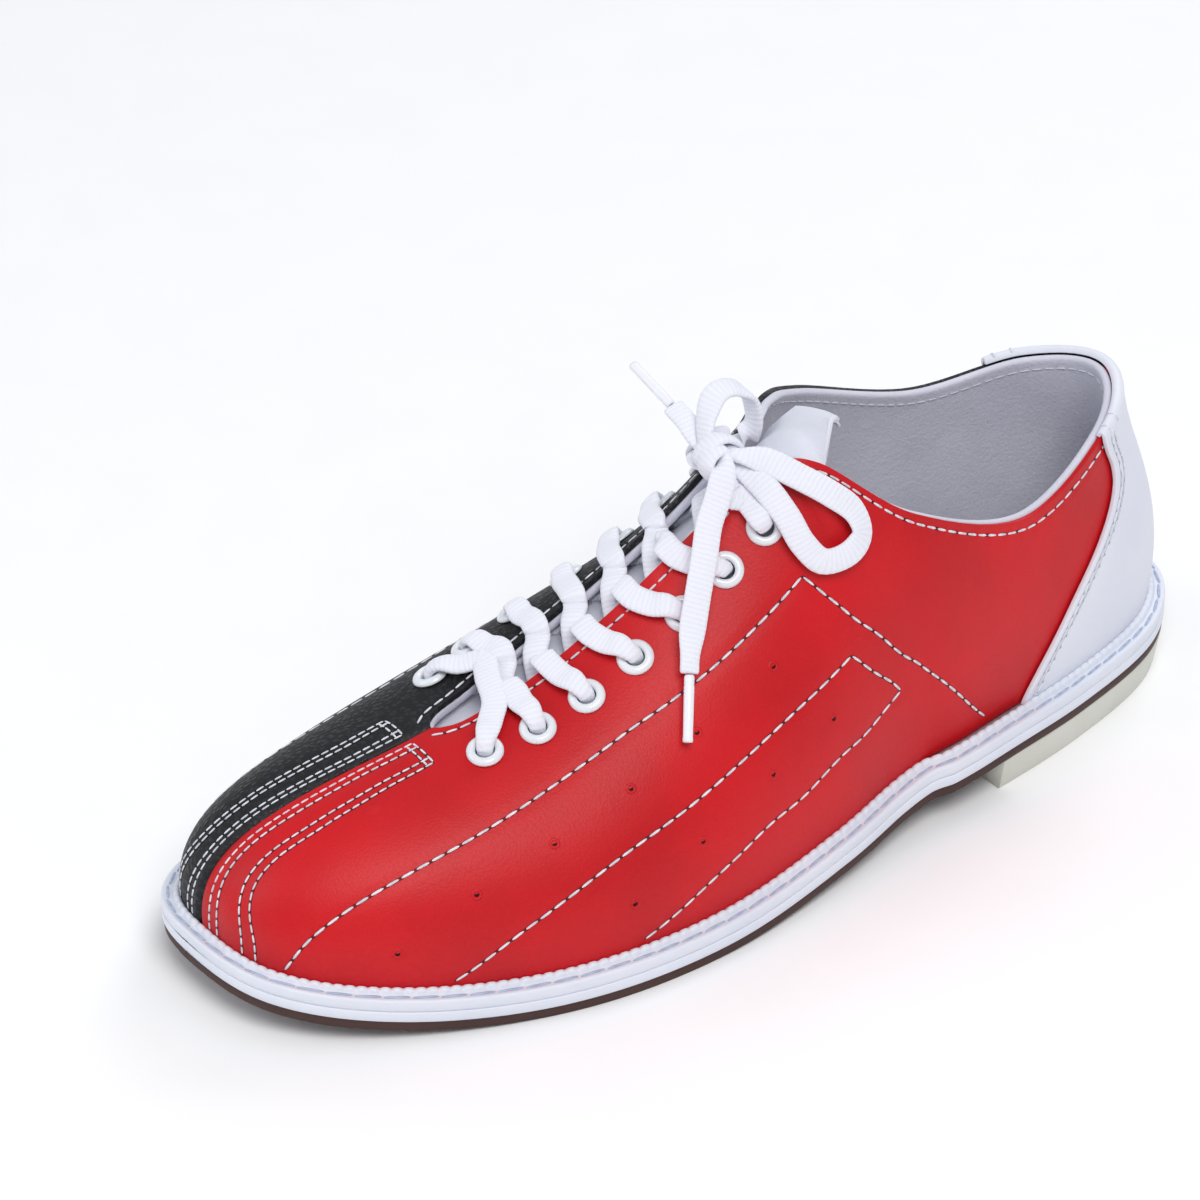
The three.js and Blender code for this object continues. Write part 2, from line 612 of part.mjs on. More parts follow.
// Crosses under both facings and comes up through the last eyelet of the other side.
function crossUnder(side, i) {
  const high = side > 0 ? 2.6 : -0.9;
  return [
    onFacing(side, i + 0.2, 5, laceUnder),
    onFacing(side, i + 0.26, 1, laceUnder),
    overGap(side, i + 0.3, 1.6, -1.2),
    overGap(side, i + 0.45, null, high),
    overGap(-side, i + 0.6, 1.6, -1.2),
    onFacing(-side, i + 0.66, 1, laceUnder),
    onFacing(-side, i + 0.75, 5, laceUnder),
    ...throughEyelet(-side, i + 1).reverse().slice(0, 4),
  ];
}

// A cord through the given points, round, with its ends square.
function cord(points, width, sides = 6) {
  const sections = [];
  let normal = null;
  points.forEach((p, i) => {
    const before = points[Math.max(0, i - 1)];
    const after = points[Math.min(points.length - 1, i + 1)];
    const way = after.clone().sub(before).normalize();
    normal = normal ? normal.projectOnPlane(way).normalize() : up.clone().projectOnPlane(way).normalize();
    const across = vector().crossVectors(way, normal);
    sections.push(
      Array.from({ length: sides }, (_, k) => {
        const angle = (2 * Math.PI * k) / sides;
        const out = normal.clone().multiplyScalar(Math.cos(angle)).addScaledVector(across, Math.sin(angle));
        return p.clone().addScaledVector(out, width / 2);
      }),
    );
  });
  return loft(sections);
}

const smoothCurve = (points) => new THREE.CatmullRomCurve3(points, false, "centripetal");


function buildLaces() {
  const strand = (side) => {
    const route = [...throughEyelet(side, 0)];
    let at = side;
    for (let i = 0; i < eyeletCount - 2; i += 1) {
      route.push(...crossOver(at, i), ...throughEyelet(-at, i + 1));
      at = -at;
    }
    return [...route, ...crossUnder(at, eyeletCount - 2)];
  };
  const rest = leatherOut + laceWidth / 2 + 0.6;
  const bar = [
    onFacing(-1, 0, 8, rest),
    onFacing(-1, 0, 2, rest),
    overGap(1, 0, null, rest + 0.4),
    onFacing(1, 0, 2, rest),
    onFacing(1, 0, 8, rest),
  ];
  place("lace", cord([...strand(-1).reverse(), ...bar, ...strand(1)], laceWidth), whiteCord);

  // The bow. Its ring lies across the front of the shoe, and four strands pass side by side through it.
  const tight = laceWidth / 2 + 0.2;
  const inRing = (x, z, y) => knotMiddle.clone().add(vector(x * tight, y, z * tight + knotTilt * y));
  const through = (x, z, way) => [-3.5, 0, 3.5].map((y) => inRing(x, z, y * way));
  const list = (points) => points.map(([x, y, z]) => vector(x * grade.x, y * grade.y, z * grade.z));
  const lateral = [
    ...leadStart(1).slice(0, 3),
    ...list([[140, 13.5, 100.5], [144, 12, 103]]),
    ...through(1, -1, -1),
    ...list([[143, -2, 105.3], [137, -4.5, 104.3], [130, -3, 105.5], [126.5, -1.5, 110], [126.5, -3, 117]]),
    ...list([[131, -4, 121.5], [136.5, -4, 121.5], [141, -2, 116]]),
    ...through(1, 1, 1),
    ...list([[146, 12, 108.5], [149, 13.5, 103.5], [152.5, 15, 98.5], [156.5, 18.3, 91.8]]),
    ...list([[161, 21.8, 84.5], [165.3, 25.2, 77], [168.3, 28.3, 72], [170, 30.4, 69]]),
  ];
  const medial = [
    ...leadStart(-1),
    ...list([[135, -5.5, 109]]),
    ...through(-1, 1, 1),
    ...list([[134, 13, 109.5], [127.6, 19.9, 105.5], [122.2, 25, 101.4], [117.2, 28.6, 96]]),
    ...list([[116.6, 31.2, 90.5], [121.2, 32, 86.8], [128, 30.2, 86], [132, 27, 91]]),
    ...list([[134, 22.5, 98], [136.5, 15.5, 104.5]]),
    ...through(-1, -1, -1),
    ...list([[142, -4, 110.5], [142, -9, 113], [142, -15, 114.5]]),
  ];
  const halves = { lateral, medial };
  for (const [word, points] of Object.entries(halves)) {
    const curve = smoothCurve(points);
    const route = curve.getSpacedPoints(Math.round(curve.getLength() / 3.6));
    place(`bow_${word}`, cord(route, laceWidth), whiteCord);
    const [before, tip] = route.slice(-2);
    const way = tip.clone().sub(before).normalize();
    const start = tip.clone().addScaledVector(way, gap);
    const aglet = new THREE.CylinderGeometry(agletWidth / 2, agletWidth / 2, agletLength, 8);
    aglet.translate(0, agletLength / 2, 0);
    place(`aglet_${word}`, closed(standOn(aglet, { centre: start, normal: way })), whitePlastic);
  }
  const ring = new THREE.TorusGeometry(tight * 2.42 + laceWidth / 2 + gap, laceWidth / 2, 8, 16);
  const axis = vector(0, 1, knotTilt).normalize();
  ring.applyQuaternion(new THREE.Quaternion().setFromUnitVectors(vector(0, 0, 1), axis));
  ring.translate(knotMiddle.x, knotMiddle.y, knotMiddle.z);
  place("lace_knot", closed(ring), whiteCord);
}
// Up out of the last eyelet and over its rim, towards the middle of the shoe.
function leadStart(side) {
  const { centre, normal } = eyeletAt(side, eyeletCount - 1);
  const edge = onFacing(side, eyeletCount - 1, 0, leatherOut);
  const back = edge.sub(centre).projectOnPlane(normal).normalize();
  const route = [[0, 1.2], [0.5, 2.6], [2.4, 3.8], [6, 4.6]];
  return route.map(([a, b]) => centre.clone().addScaledVector(back, a).addScaledVector(normal, b));
}

buildSole();
buildUpper();
buildTongue();
buildLaces();

// The origin is on the ground, under the middle of the welt.
const reach = new THREE.Box3().setFromObject(nodes.welt);
root.position.set(-(reach.min.x + reach.max.x) / 2, -(reach.min.y + reach.max.y) / 2, 0);
export default root;
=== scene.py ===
# %% [markdown]
# # A laced bowling shoe
# The left shoe of a two-colour pair: red smooth leather outside, black pebbled leather inside, a white
# heel cover, white flat laces and a white edge all round the sole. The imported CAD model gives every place
# and size. Here each visible piece is made again as finely as a close look needs, on the same surface.

# %% Load the frame
import math
import bmesh
import bpy
import numpy as np
from mathutils import Matrix, Vector
from mathutils.bvhtree import BVHTree


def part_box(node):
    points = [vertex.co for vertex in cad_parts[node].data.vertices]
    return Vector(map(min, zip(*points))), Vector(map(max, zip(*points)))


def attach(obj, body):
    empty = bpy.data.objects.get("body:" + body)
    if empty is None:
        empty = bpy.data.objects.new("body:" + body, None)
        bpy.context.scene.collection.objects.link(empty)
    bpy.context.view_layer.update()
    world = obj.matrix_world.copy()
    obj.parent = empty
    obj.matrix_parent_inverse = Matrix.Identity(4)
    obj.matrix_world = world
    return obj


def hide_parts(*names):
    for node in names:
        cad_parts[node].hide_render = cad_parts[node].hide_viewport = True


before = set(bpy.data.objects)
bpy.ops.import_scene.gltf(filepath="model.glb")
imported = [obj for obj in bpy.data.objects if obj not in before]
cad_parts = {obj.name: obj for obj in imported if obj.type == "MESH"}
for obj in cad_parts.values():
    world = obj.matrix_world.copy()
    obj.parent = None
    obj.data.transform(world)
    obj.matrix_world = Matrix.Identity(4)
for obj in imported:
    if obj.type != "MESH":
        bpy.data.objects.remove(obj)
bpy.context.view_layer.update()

# %% [markdown]
# ## Camera and light
# The shoe is seen from above its outer toe side with a long lens, so the lines hardly converge. The light
# is a large soft box overhead with two gentler ones, over a plain pale floor, as in a catalogue studio.

# %% Camera
AZIMUTH, ELEVATION, DISTANCE = 143.57, 34.59, 1.385
target = Vector((-0.0013, -0.0003, 0.040))
turn, rise = math.radians(AZIMUTH), math.radians(ELEVATION)
back = Vector((math.sin(turn) * math.cos(rise), -math.cos(turn) * math.cos(rise), math.sin(rise)))
camera = bpy.data.objects.new("camera", bpy.data.cameras.new("camera"))
bpy.context.collection.objects.link(camera)
camera.location = target + back * DISTANCE
camera.rotation_mode = "QUATERNION"
camera.rotation_quaternion = (-back).to_track_quat("-Z", "Y")
camera.data.lens = 160.6
camera.data.sensor_width = 36
camera.data.shift_x, camera.data.shift_y = -0.0896, 0.0633
bpy.context.scene.camera = camera
print("camera at", [round(x, 3) for x in camera.location])


# %% Lights
LIT = Vector((0, 0, 0.05))


def area_light(name, place, size, power, tint):
    """A soft box at a place, facing the shoe."""
    light = bpy.data.objects.new(name, bpy.data.lights.new(name, "AREA"))
    light.data.shape, light.data.size = "DISK", size
    light.data.energy, light.data.color = power, tint
    light.location = place
    light.rotation_mode = "QUATERNION"
    light.rotation_quaternion = (Vector(place) - LIT).to_track_quat("Z", "Y")
    bpy.context.collection.objects.link(light)


# name, place, size in metres, watts, tint
area_light("key", (0.35, 0.9, 1.5), 1.0, 16, (1.0, 0.985, 0.97))
area_light("fill", (1.4, -0.7, 0.9), 1.2, 6, (0.94, 0.96, 1.0))
area_light("rim", (-1.3, -0.6, 1.2), 1.0, 7.5, (0.96, 0.98, 1.0))
world = bpy.data.worlds.new("studio")
world.use_nodes = True
world.node_tree.nodes["Background"].inputs["Color"].default_value = (0.93, 0.95, 1.0, 1)
world.node_tree.nodes["Background"].inputs["Strength"].default_value = 0.5
bpy.context.scene.world = world
bpy.context.scene.view_settings.view_transform = "Standard"

# %% [markdown]
# ## The foot space
# Every layer of a shoe is shaped over one last. A place on it is given by a station s, 0 at the toe and 11 at
# the heel, plus on the outer side and minus on the inner side, and a height t, 0 at the sole and 1 at the top
# edge. The functions below work on whole arrays of places at once and give millimetres.

# %% Stations of the last
FOOT_OUTER = [(285.4, -13.3), (280.6, 11.5), (256, 30.4), (214.8, 45.4), (176.2, 48.1), (137.4, 42.6),
              (113.5, 36.7), (100, 34.5), (82, 33.3), (47.5, 27.5), (16.3, 17), (3, 0.2)]
FOOT_INNER = [(281, -28.5), (262.5, -39.8), (225, -47.4), (177.5, -41.5), (137, -29.5),
              (111.5, -24.5), (98, -23.7), (82, -23.5), (47.5, -23.7), (16.3, -16.2)]
TOP_OUTER = [(224, -4.5, 42.5), (221.5, -1.5, 43.5), (211, 0.6, 46), (193, 1.8, 52.4), (172, 3.5, 64.5),
             (150, 5.5, 80.5), (130, 8.5, 95), (121, 15, 95), (97, 25, 76.5), (61, 25.5, 62.5),
             (29, 17.5, 73), (13.5, -0.7, 76.5)]
TOP_INNER = [(221.5, -8, 43.5), (211, -9.6, 46), (193, -10.2, 52.4), (171, -9, 62.5), (146, -8, 76),
             (120, -10, 91.5), (109, -16.5, 93), (92, -25.5, 85), (54, -27, 70), (22, -20, 72)]
# how the wall stands: rise and outward flare at the sole, reach and lean at the top edge
WALL = [(24, 6, 45, 12), (24, 6, 43, 12), (26, 5, 37, 14), (28, 4, 29, 18), (32, 4, 27, 22), (38, 4, 27, 30),
        (42, 4, 26, 40), (40, 4, 24, 50), (34, 4, 20, 68), (24, 4, 16, 80), (28, 8, 20, 84), (30, 12, 22, 84)]
HEEL = 11
LAST_LENGTH, BALL_HEIGHT, HEEL_LIFT, TOE_SPRING = 284, 9.4, 9.8, 6.6
foot_ring = np.array(FOOT_OUTER + FOOT_INNER[::-1], float)
top_line = np.array(TOP_OUTER + TOP_INNER[::-1] + TOP_OUTER[:1], float)
wall_table = np.array(WALL, float)
wall_table[:, [1, 3]] = np.radians(wall_table[:, [1, 3]])


# %% Reading the last
def smooth(x, low, high):
    """0 below low, 1 above high and a soft step between."""
    u = np.clip((np.asarray(x, float) - low) / (high - low), 0, 1)
    return u * u * (3 - 2 * u)


def unit(v):
    """Directions one long."""
    return v / np.maximum(np.linalg.norm(v, axis=-1, keepdims=True), 1e-12)


def dot(a, b):
    """Dot products, each kept in a column of its own."""
    return (a * b).sum(-1, keepdims=True)


def along(table, u, closed=False):
    """A table of numbers read as a smooth curve at u."""
    n = len(table)
    u = np.asarray(u, float)
    if not closed:
        u = np.clip(u, 0, n - 1 - 1e-9)
    i = np.floor(u).astype(int)
    f = (u - i)[..., None]
    ends = np.vstack([2 * table[0] - table[1], table, 2 * table[-1] - table[-2]])
    pick = (lambda k: table[k % n]) if closed else (lambda k: ends[k + 1])
    a, b, c, d = pick(i - 1), pick(i), pick(i + 1), pick(i + 2)
    return b + 0.5 * ((c - a) * f + (2 * a - 5 * b + 4 * c - d) * f**2 + (3 * b - a - 3 * c + d) * f**3)


def gone_along(line):
    """The distance gone at each point of a line."""
    return np.concatenate([[0], np.cumsum(np.linalg.norm(np.diff(line, axis=0), axis=1))])


def on_ring(s):
    """A station as a place on the closed ring."""
    return np.where(s < 0, 2 * HEEL + s, s)


def feather(x):
    """Height of the line where the upper meets the sole."""
    spring = np.maximum(0, x / LAST_LENGTH - 0.78) / 0.22
    return BALL_HEIGHT + HEEL_LIFT * (1 - smooth(x / LAST_LENGTH, 0.22, 0.66)) + TOE_SPRING * spring**2


def foot(s):
    """The foot space's outline at the sole, seen from above."""
    p = along(foot_ring, on_ring(s), True)
    return np.concatenate([p, np.zeros_like(p[..., :1])], -1)


def outward(s):
    """The level way out of that outline."""
    step = foot(s + 0.05) - foot(s - 0.05)
    return unit(np.stack([step[..., 1], -step[..., 0], 0 * step[..., 0]], -1))


def outline(s, offset, height):
    """A place on the sole's outline, an offset outward and a height over the feather line."""
    s, offset, height = np.broadcast_arrays(np.asarray(s, float), offset, height)
    p = foot(s) + outward(s) * offset[..., None]
    p[..., 2] = feather(p[..., 0]) + height
    return p


def top_edge(s):
    """The upper's top edge."""
    p = along(top_line, on_ring(s)).copy()
    p[..., 2] += BALL_HEIGHT
    return p


def inner_wall(s, t):
    """The foot space's own surface: one Bezier curve from the sole to the top edge at each station."""
    rise_, flare, reach, lean = (v[..., None] for v in np.moveaxis(along(wall_table, np.abs(s)), -1, 0))
    up = np.array([0.0, 0, 1])
    plan = outward(s)
    start, edge = outline(s, 0, 0), top_edge(s)
    level = foot(s) - edge
    level[..., 2] = 0
    share = smooth(np.abs(s), 3, 6)[..., None]
    level = unit(unit(level) * (1 - share) + plan * share)
    lower = start + (up * np.cos(flare) + plan * np.sin(flare)) * rise_
    upper = edge + (level * np.cos(lean) - up * np.sin(lean)) * reach
    t = t[..., None]
    return (1 - t) ** 3 * start + 3 * (1 - t) ** 2 * t * lower + 3 * (1 - t) * t**2 * upper + t**3 * edge


def wall_normal(s, t):
    """The way out of the foot space."""
    s, t = np.broadcast_arrays(np.asarray(s, float), np.asarray(t, float))
    low = np.minimum(t, 0.98)
    across = inner_wall(s + 0.05, t) - inner_wall(s - 0.05, t)
    upward = inner_wall(s, low + 0.02) - inner_wall(s, low)
    share = smooth(t, 0, 0.15)[..., None]
    return unit(outward(s) * (1 - share) + unit(np.cross(across, upward)) * share)


def wall(s, t, d):
    """A place d outside the foot space, at station s and height t."""
    s, t, d = np.broadcast_arrays(np.asarray(s, float), np.asarray(t, float), np.asarray(d, float))
    inside = inner_wall(s, t)
    p = inside + wall_normal(s, t) * d[..., None]
    p[..., 2] += (feather(p[..., 0]) - feather(inside[..., 0])) * (1 - smooth(t, 0, 0.4))
    return p


def over_edge(s, d, height):
    """A place d outside the foot space and a height above the top edge."""
    s = np.asarray(s, float)
    one = np.ones_like(s)
    rise_ = unit(inner_wall(s, one) - inner_wall(s, one * 0.97))
    return wall(s, one, d) + rise_ * np.asarray(height, float)[..., None]


def height_at(s, down, d=0.0):
    """The height t at a distance down the wall from the top edge."""
    ts = np.linspace(0, 1, 81)
    line = wall(np.full(81, float(s)), ts, d)
    gone = gone_along(line)
    return float(np.interp(gone[-1] - down, gone, ts))


def even_stations(a, b, n, t=0.4):
    """n + 1 stations at equal steps along the shoe."""
    s = np.linspace(a, b, 801)
    line = wall(s, t, 3.0)
    gone = gone_along(line)
    return np.interp(np.linspace(0, gone[-1], n + 1), gone, s)


# %% Layers, and the shift to the row frame
LEATHER, COVER = 3.7, 5.5  # outer faces, measured out from the foot space
LEATHER_WALL, COVER_FRONT, COVER_BLEND, WELT_WIDTH = 1.3, 7.4, 0.6, 5.0
MIDSOLE_TOP, MIDSOLE_BOTTOM, OUTSOLE_TOP = -3.6, -6.5, -6.8  # below the feather line


def upper_out(s):
    """How far the upper stands out at the sole: the leather, or the heel cover over it."""
    return LEATHER + (COVER - LEATHER) * smooth(np.abs(s), COVER_FRONT - COVER_BLEND, COVER_FRONT)


def welt_out(s):
    """How far the welt's edge stands out."""
    return upper_out(s) + WELT_WIDTH


# the CAD welt's own stations, so that both models have the same lowest corner
rim_s = np.concatenate([np.arange(0, 2, 0.25), np.arange(2, 9, 0.5), np.arange(9, HEEL + 0.1, 0.25)])
rim_s = np.concatenate([rim_s, -rim_s])
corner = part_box("welt")[0]
SHIFT = np.array([corner[0], corner[1], 0]) * 1000 - outline(rim_s, welt_out(rim_s), 0).min(0) * (1, 1, 0)
print("shift to the row frame, mm", SHIFT.round(3))


def metres(p):
    """From millimetres on the last to metres in the frame."""
    return (np.asarray(p) + SHIFT) / 1000


# %% [markdown]
# ## Making a piece
# Nearly every piece here is a sheet or a tube: a grid that bmesh makes flat, whose corners are then
# carried to their places on the last. A grid keeps even faces and brings its own texture map. Modifiers
# then give a sheet its wall and a small round on its cut edges, which makes leather look like leather.

# %% Piece helpers
BODY, TONGUE = "shoe", "tongue"
SAME = 2e-6  # corners nearer than this, in metres, are one corner


def finish_piece(bm, name, material, body=BODY, replaces=()):
    """Makes a bmesh an object that rides on a body and may stand for CAD nodes."""
    mesh = bpy.data.meshes.new(name)
    bm.to_mesh(mesh)
    bm.free()
    piece = bpy.data.objects.new(name, mesh)
    bpy.context.collection.objects.link(piece)
    mesh.materials.append(material)
    mesh.polygons.foreach_set("use_smooth", [True] * len(mesh.polygons))
    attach(piece, body)
    if replaces:
        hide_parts(*replaces)
    return piece


def grid(nu, nv, place, join=False, cap=False):
    """A bmesh grid carried to place(u, v), both from 0 to 1. join closes it where its sides meet."""
    bm = bmesh.new()
    bm.loops.layers.uv.new("map")
    bmesh.ops.create_grid(bm, x_segments=nu, y_segments=nv, size=1, calc_uvs=True)
    flat = np.array([v.co[:2] for v in bm.verts])
    low, high = flat.min(0), flat.max(0)
    u, v = ((flat - low) / (high - low)).T
    for vert, p in zip(bm.verts, metres(place(u, v))):
        vert.co = p
    if join:
        bmesh.ops.remove_doubles(bm, verts=bm.verts, dist=SAME)
    if cap:
        bmesh.ops.holes_fill(bm, edges=[e for e in bm.edges if e.is_boundary], sides=0)
    if join:
        bmesh.ops.recalc_face_normals(bm, faces=bm.faces)
    return bm


def thicken(piece, wall_mm, round_mm):
    """Gives a sheet its wall, inward, and rounds its cut edges."""
    solid = piece.modifiers.new("wall", "SOLIDIFY")
    solid.thickness, solid.offset, solid.use_even_offset = wall_mm / 1000, -1, True
    edge = piece.modifiers.new("round", "BEVEL")
    edge.width, edge.segments, edge.limit_method = round_mm / 1000, 3, "ANGLE"
    edge.angle_limit = math.radians(50)


def add_into(bm, part):
    """Puts one bmesh into another."""
    carry = bpy.data.meshes.new("carry")
    part.to_mesh(carry)
    part.free()
    bm.from_mesh(carry)
    bpy.data.meshes.remove(carry)


# %% [markdown]
# ## Writing materials
# A material's pattern is arithmetic on a few noises. Written as Python sums it stays readable: the class
# below wraps a socket, and each sum on it adds the Math node that does the same.


# %% Sums on sockets
class Value:
    """A number that varies over the surface."""

    def __init__(self, finish, socket):
        self.finish, self.socket = finish, socket

    def math(self, operation, *terms):
        node = self.finish.node("ShaderNodeMath", {"operation": operation}, dict(enumerate(terms)))
        return Value(self.finish, node.outputs[0])

    def __add__(self, other):
        return self.math("ADD", self, other)

    def __sub__(self, other):
        return self.math("SUBTRACT", self, other)

    def __rsub__(self, other):
        return self.math("SUBTRACT", other, self)

    def __mul__(self, other):
        return self.math("MULTIPLY", self, other)

    __radd__, __rmul__ = __add__, __mul__

    def between(self, low, high):
        """0 below low and 1 above high, or the other way round where low is above high."""
        settings = {"interpolation_type": "SMOOTHSTEP"}
        ends = (low, high, 0, 1) if low < high else (high, low, 1, 0)
        node = self.finish.node("ShaderNodeMapRange", settings, dict(enumerate((self, *ends))))
        return Value(self.finish, node.outputs[0])


class Finish:
    """A Principled material and the nodes that feed it."""

    def __init__(self, name, coordinates="Object", **constants):
        self.material = bpy.data.materials.new(name)
        self.material.use_nodes = True
        self.tree = self.material.node_tree
        self.shader = self.tree.nodes["Principled BSDF"]
        for key, value in constants.items():
            self.shader.inputs[key.replace("_", " ")].default_value = value
        self.places = self.tree.nodes.new("ShaderNodeTexCoord").outputs[coordinates]

    def node(self, kind, settings=None, inputs=None):
        node = self.tree.nodes.new(kind)
        for key, value in (settings or {}).items():
            setattr(node, key, value)
        for key, value in (inputs or {}).items():
            if isinstance(value, Value):
                value = value.socket
            if isinstance(value, bpy.types.NodeSocket):
                self.tree.links.new(value, node.inputs[key])
            else:
                node.inputs[key].default_value = value
        return node

    def noise(self, scale, detail, rough=0.5, places=None):
        """Cloudy noise, scale in clouds a metre."""
        inputs = {"Vector": places or self.places, "Scale": scale, "Detail": detail, "Roughness": rough}
        return Value(self, self.node("ShaderNodeTexNoise", {}, inputs).outputs[0])

    def cells(self, scale, soft, places=None):
        """The distance to the nearest of scattered seeds: a net of soft cells."""
        inputs = {"Vector": places or self.places, "Scale": scale, "Smoothness": soft}
        node = self.node("ShaderNodeTexVoronoi", {"feature": "SMOOTH_F1"}, inputs)
        return Value(self, node.outputs["Distance"])

    def waves(self, scale, direction, bend):
        settings = {"wave_type": "BANDS", "bands_direction": direction, "wave_profile": "SIN"}
        inputs = {"Vector": self.places, "Scale": scale, "Distortion": bend}
        return Value(self, self.node("ShaderNodeTexWave", settings, inputs).outputs[1])

    def axis(self, name):
        return Value(self, self.node("ShaderNodeSeparateXYZ", {}, {0: self.places}).outputs[name])

    def blend(self, share, first, second):
        """A colour between two, given as colours or sockets."""
        first, second = ((*c, 1) if isinstance(c, tuple) and len(c) == 3 else c for c in (first, second))
        inputs = {0: share, 6: first, 7: second}
        return self.node("ShaderNodeMix", {"data_type": "RGBA"}, inputs).outputs[2]

    def color(self, socket):
        self.tree.links.new(socket, self.shader.inputs["Base Color"])
        return self

    def rough(self, value):
        self.tree.links.new(value.socket, self.shader.inputs["Roughness"])
        return self

    def relief(self, height, depth_mm):
        """Bumps of a depth in millimetres. It comes last and hands over the material."""
        inputs = {"Height": height, "Distance": depth_mm / 1000, "Strength": 1.0}
        bump = self.node("ShaderNodeBump", {}, inputs)
        self.tree.links.new(bump.outputs[0], self.shader.inputs["Normal"])
        return self.material


# %% [markdown]
# ## The finishes
# Smooth leather is a fine net of tiny creases over a slow mottling, with the roughness going up a little
# in the creases. Pebbled leather has cells several times larger, shiny on their tops, and also coloured
# lighter there as painted highlight, with painted shade in the valleys. The numbers are cells a metre, so
# 700 is a cell of about a millimetre and a half.


# %% Leathers
GRAIN, PORES, GRAIN_DEPTH = 1500, 2550, 0.05


def smooth_leather(name, base, dark, light, rough=0.36):
    """Dyed smooth leather, from its own tone, its creases' tone and its worn tone."""
    f = Finish(name, IOR=1.46, Specular_IOR_Level=0.36)
    mottle = f.noise(28, 4)
    fine = f.cells(GRAIN, soft=0.35)
    pores = f.noise(PORES, 2)
    wear = f.noise(90, 6, 0.65).between(0.62, 0.8)
    tone = f.blend(mottle.between(0.3, 0.7), dark, base)
    tone = f.blend(wear * 0.35, tone, light)
    tone = f.blend(fine.between(0.55, 0.9) * 0.25, tone, dark)
    f.color(tone)
    f.rough(rough + mottle * 0.1 + fine * 0.08 + wear * 0.05)
    return f.relief(fine * 0.7 + pores * 0.5 + f.noise(170, 3) * 1.4, GRAIN_DEPTH)


red_leather = smooth_leather("red_leather", (0.60, 0.004, 0.009), (0.50, 0.003, 0.007),
                             (0.68, 0.02, 0.025))
white_leather = smooth_leather("white_leather", (0.78, 0.80, 0.87), (0.72, 0.74, 0.83),
                               (0.84, 0.86, 0.92), 0.4)


def pebbled_leather():
    """Embossed black leather: uneven pebbles, duller in the valleys between them; the tops are painted
    lighter as painted highlight and the valleys darker as painted shade.
    """
    f = Finish("black_leather", IOR=1.48, Specular_IOR_Level=0.4)
    bend = f.node("ShaderNodeVectorMath", {"operation": "MULTIPLY_ADD"},
                  {0: f.node("ShaderNodeTexNoise", {}, {"Vector": f.places, "Scale": 240.0}).outputs["Color"],
                   1: (0.0016, 0.0016, 0.0016), 2: f.places}).outputs[0]
    pebble = f.cells(640, soft=0.22, places=bend)
    small = f.cells(1500, soft=0.3, places=bend)
    crease = f.noise(60, 4)
    top = pebble.between(0.62, 0.12)
    # painted highlight on the pebble tops and painted shade in the valleys: the colour follows top
    f.color(f.blend(top * 0.8, (0.005, 0.005, 0.007), (0.016, 0.016, 0.020)))
    f.rough(0.54 - top * 0.15 + crease * 0.08)
    return f.relief(top + small * -0.25 + crease * 0.8, 0.17)


black_leather = pebbled_leather()
print("leathers made")


# %% Cloths
def woven(name, base, dark, pitch, depth):
    """Cloth seen close: threads crossing at a pitch in millimetres, a little fuzz and slow shading."""
    f = Finish(name, Sheen_Weight=0.25, Sheen_Roughness=0.5)
    scale = 1000 / pitch / 20 * math.pi
    weave = f.waves(scale, "X", bend=0.6) * f.waves(scale, "Z", bend=0.6)
    fuzz = f.noise(1800, 3)
    shade = f.noise(35, 5)
    f.color(f.blend(weave * 0.5 + shade * 0.5, dark, base))
    f.rough(0.85 + fuzz * 0.1)
    return f.relief(weave + fuzz * 0.8 + shade * 2.0, depth)


def brushed_lining():
    """Pigskin-like lining: soft, grey-violet, with pores and slow creases from lasting."""
    f = Finish("lining_cloth", Sheen_Weight=0.3, Sheen_Roughness=0.45)
    slow, pores, fuzz = f.noise(22, 5), f.cells(900, soft=0.2), f.noise(1400, 4)
    f.color(f.blend(slow.between(0.3, 0.7), (0.58, 0.58, 0.68), (0.70, 0.70, 0.79)))
    f.rough(0.68 + fuzz * 0.2)
    return f.relief(fuzz + pores * 0.6 + slow * 9, 0.12)


lining_cloth = brushed_lining()
black_cloth = woven("black_cloth", (0.016, 0.016, 0.018), (0.006, 0.006, 0.008), 0.7, 0.1)
binding_white = woven("binding_white", (0.72, 0.73, 0.8), (0.6, 0.61, 0.7), 0.5, 0.05)


# %% Threads and laces
def thread_finish(name, base, dark):
    """Twisted sewing thread."""
    f = Finish(name, Sheen_Weight=0.2, Sheen_Roughness=0.4)
    twist = f.waves(160, "DIAGONAL", bend=0.4)
    f.color(f.blend(twist * 0.7 + f.noise(900, 2) * 0.3, dark, base))
    f.rough(0.5 + twist * 0.2)
    return f.relief(twist, 0.06)


white_thread = thread_finish("white_thread", (0.82, 0.83, 0.87), (0.55, 0.56, 0.62))
blue_thread = thread_finish("welt_thread_finish", (0.50, 0.57, 0.72), (0.36, 0.43, 0.60))


LACE_RIB, RIB_SWELL = 1.25, 0.02


def lace_finish():
    """Tubular braid: fine ribs across and faint strands along it, on the lace's own map in metres."""
    f = Finish("white_cord", "UV", Sheen_Weight=0.25, Sheen_Roughness=0.4)
    run, side = f.axis("X"), f.axis("Y")
    ribs = run.math("SINE", (run + side * 0.15) * (2000 * math.pi / LACE_RIB))
    strands = side.math("SINE", side * 7000)
    braid = (ribs * 0.36 + ribs * strands * 0.14) + 0.5
    fuzz = f.noise(2500, 3, places=f.node("ShaderNodeTexCoord").outputs["Object"])
    f.color(f.blend(braid * 0.6 + fuzz * 0.4, (0.74, 0.75, 0.83), (0.86, 0.87, 0.93)))
    f.rough(0.72 + fuzz * 0.15)
    return f.relief(braid + fuzz * 0.6, 0.06)


white_cord = lace_finish()


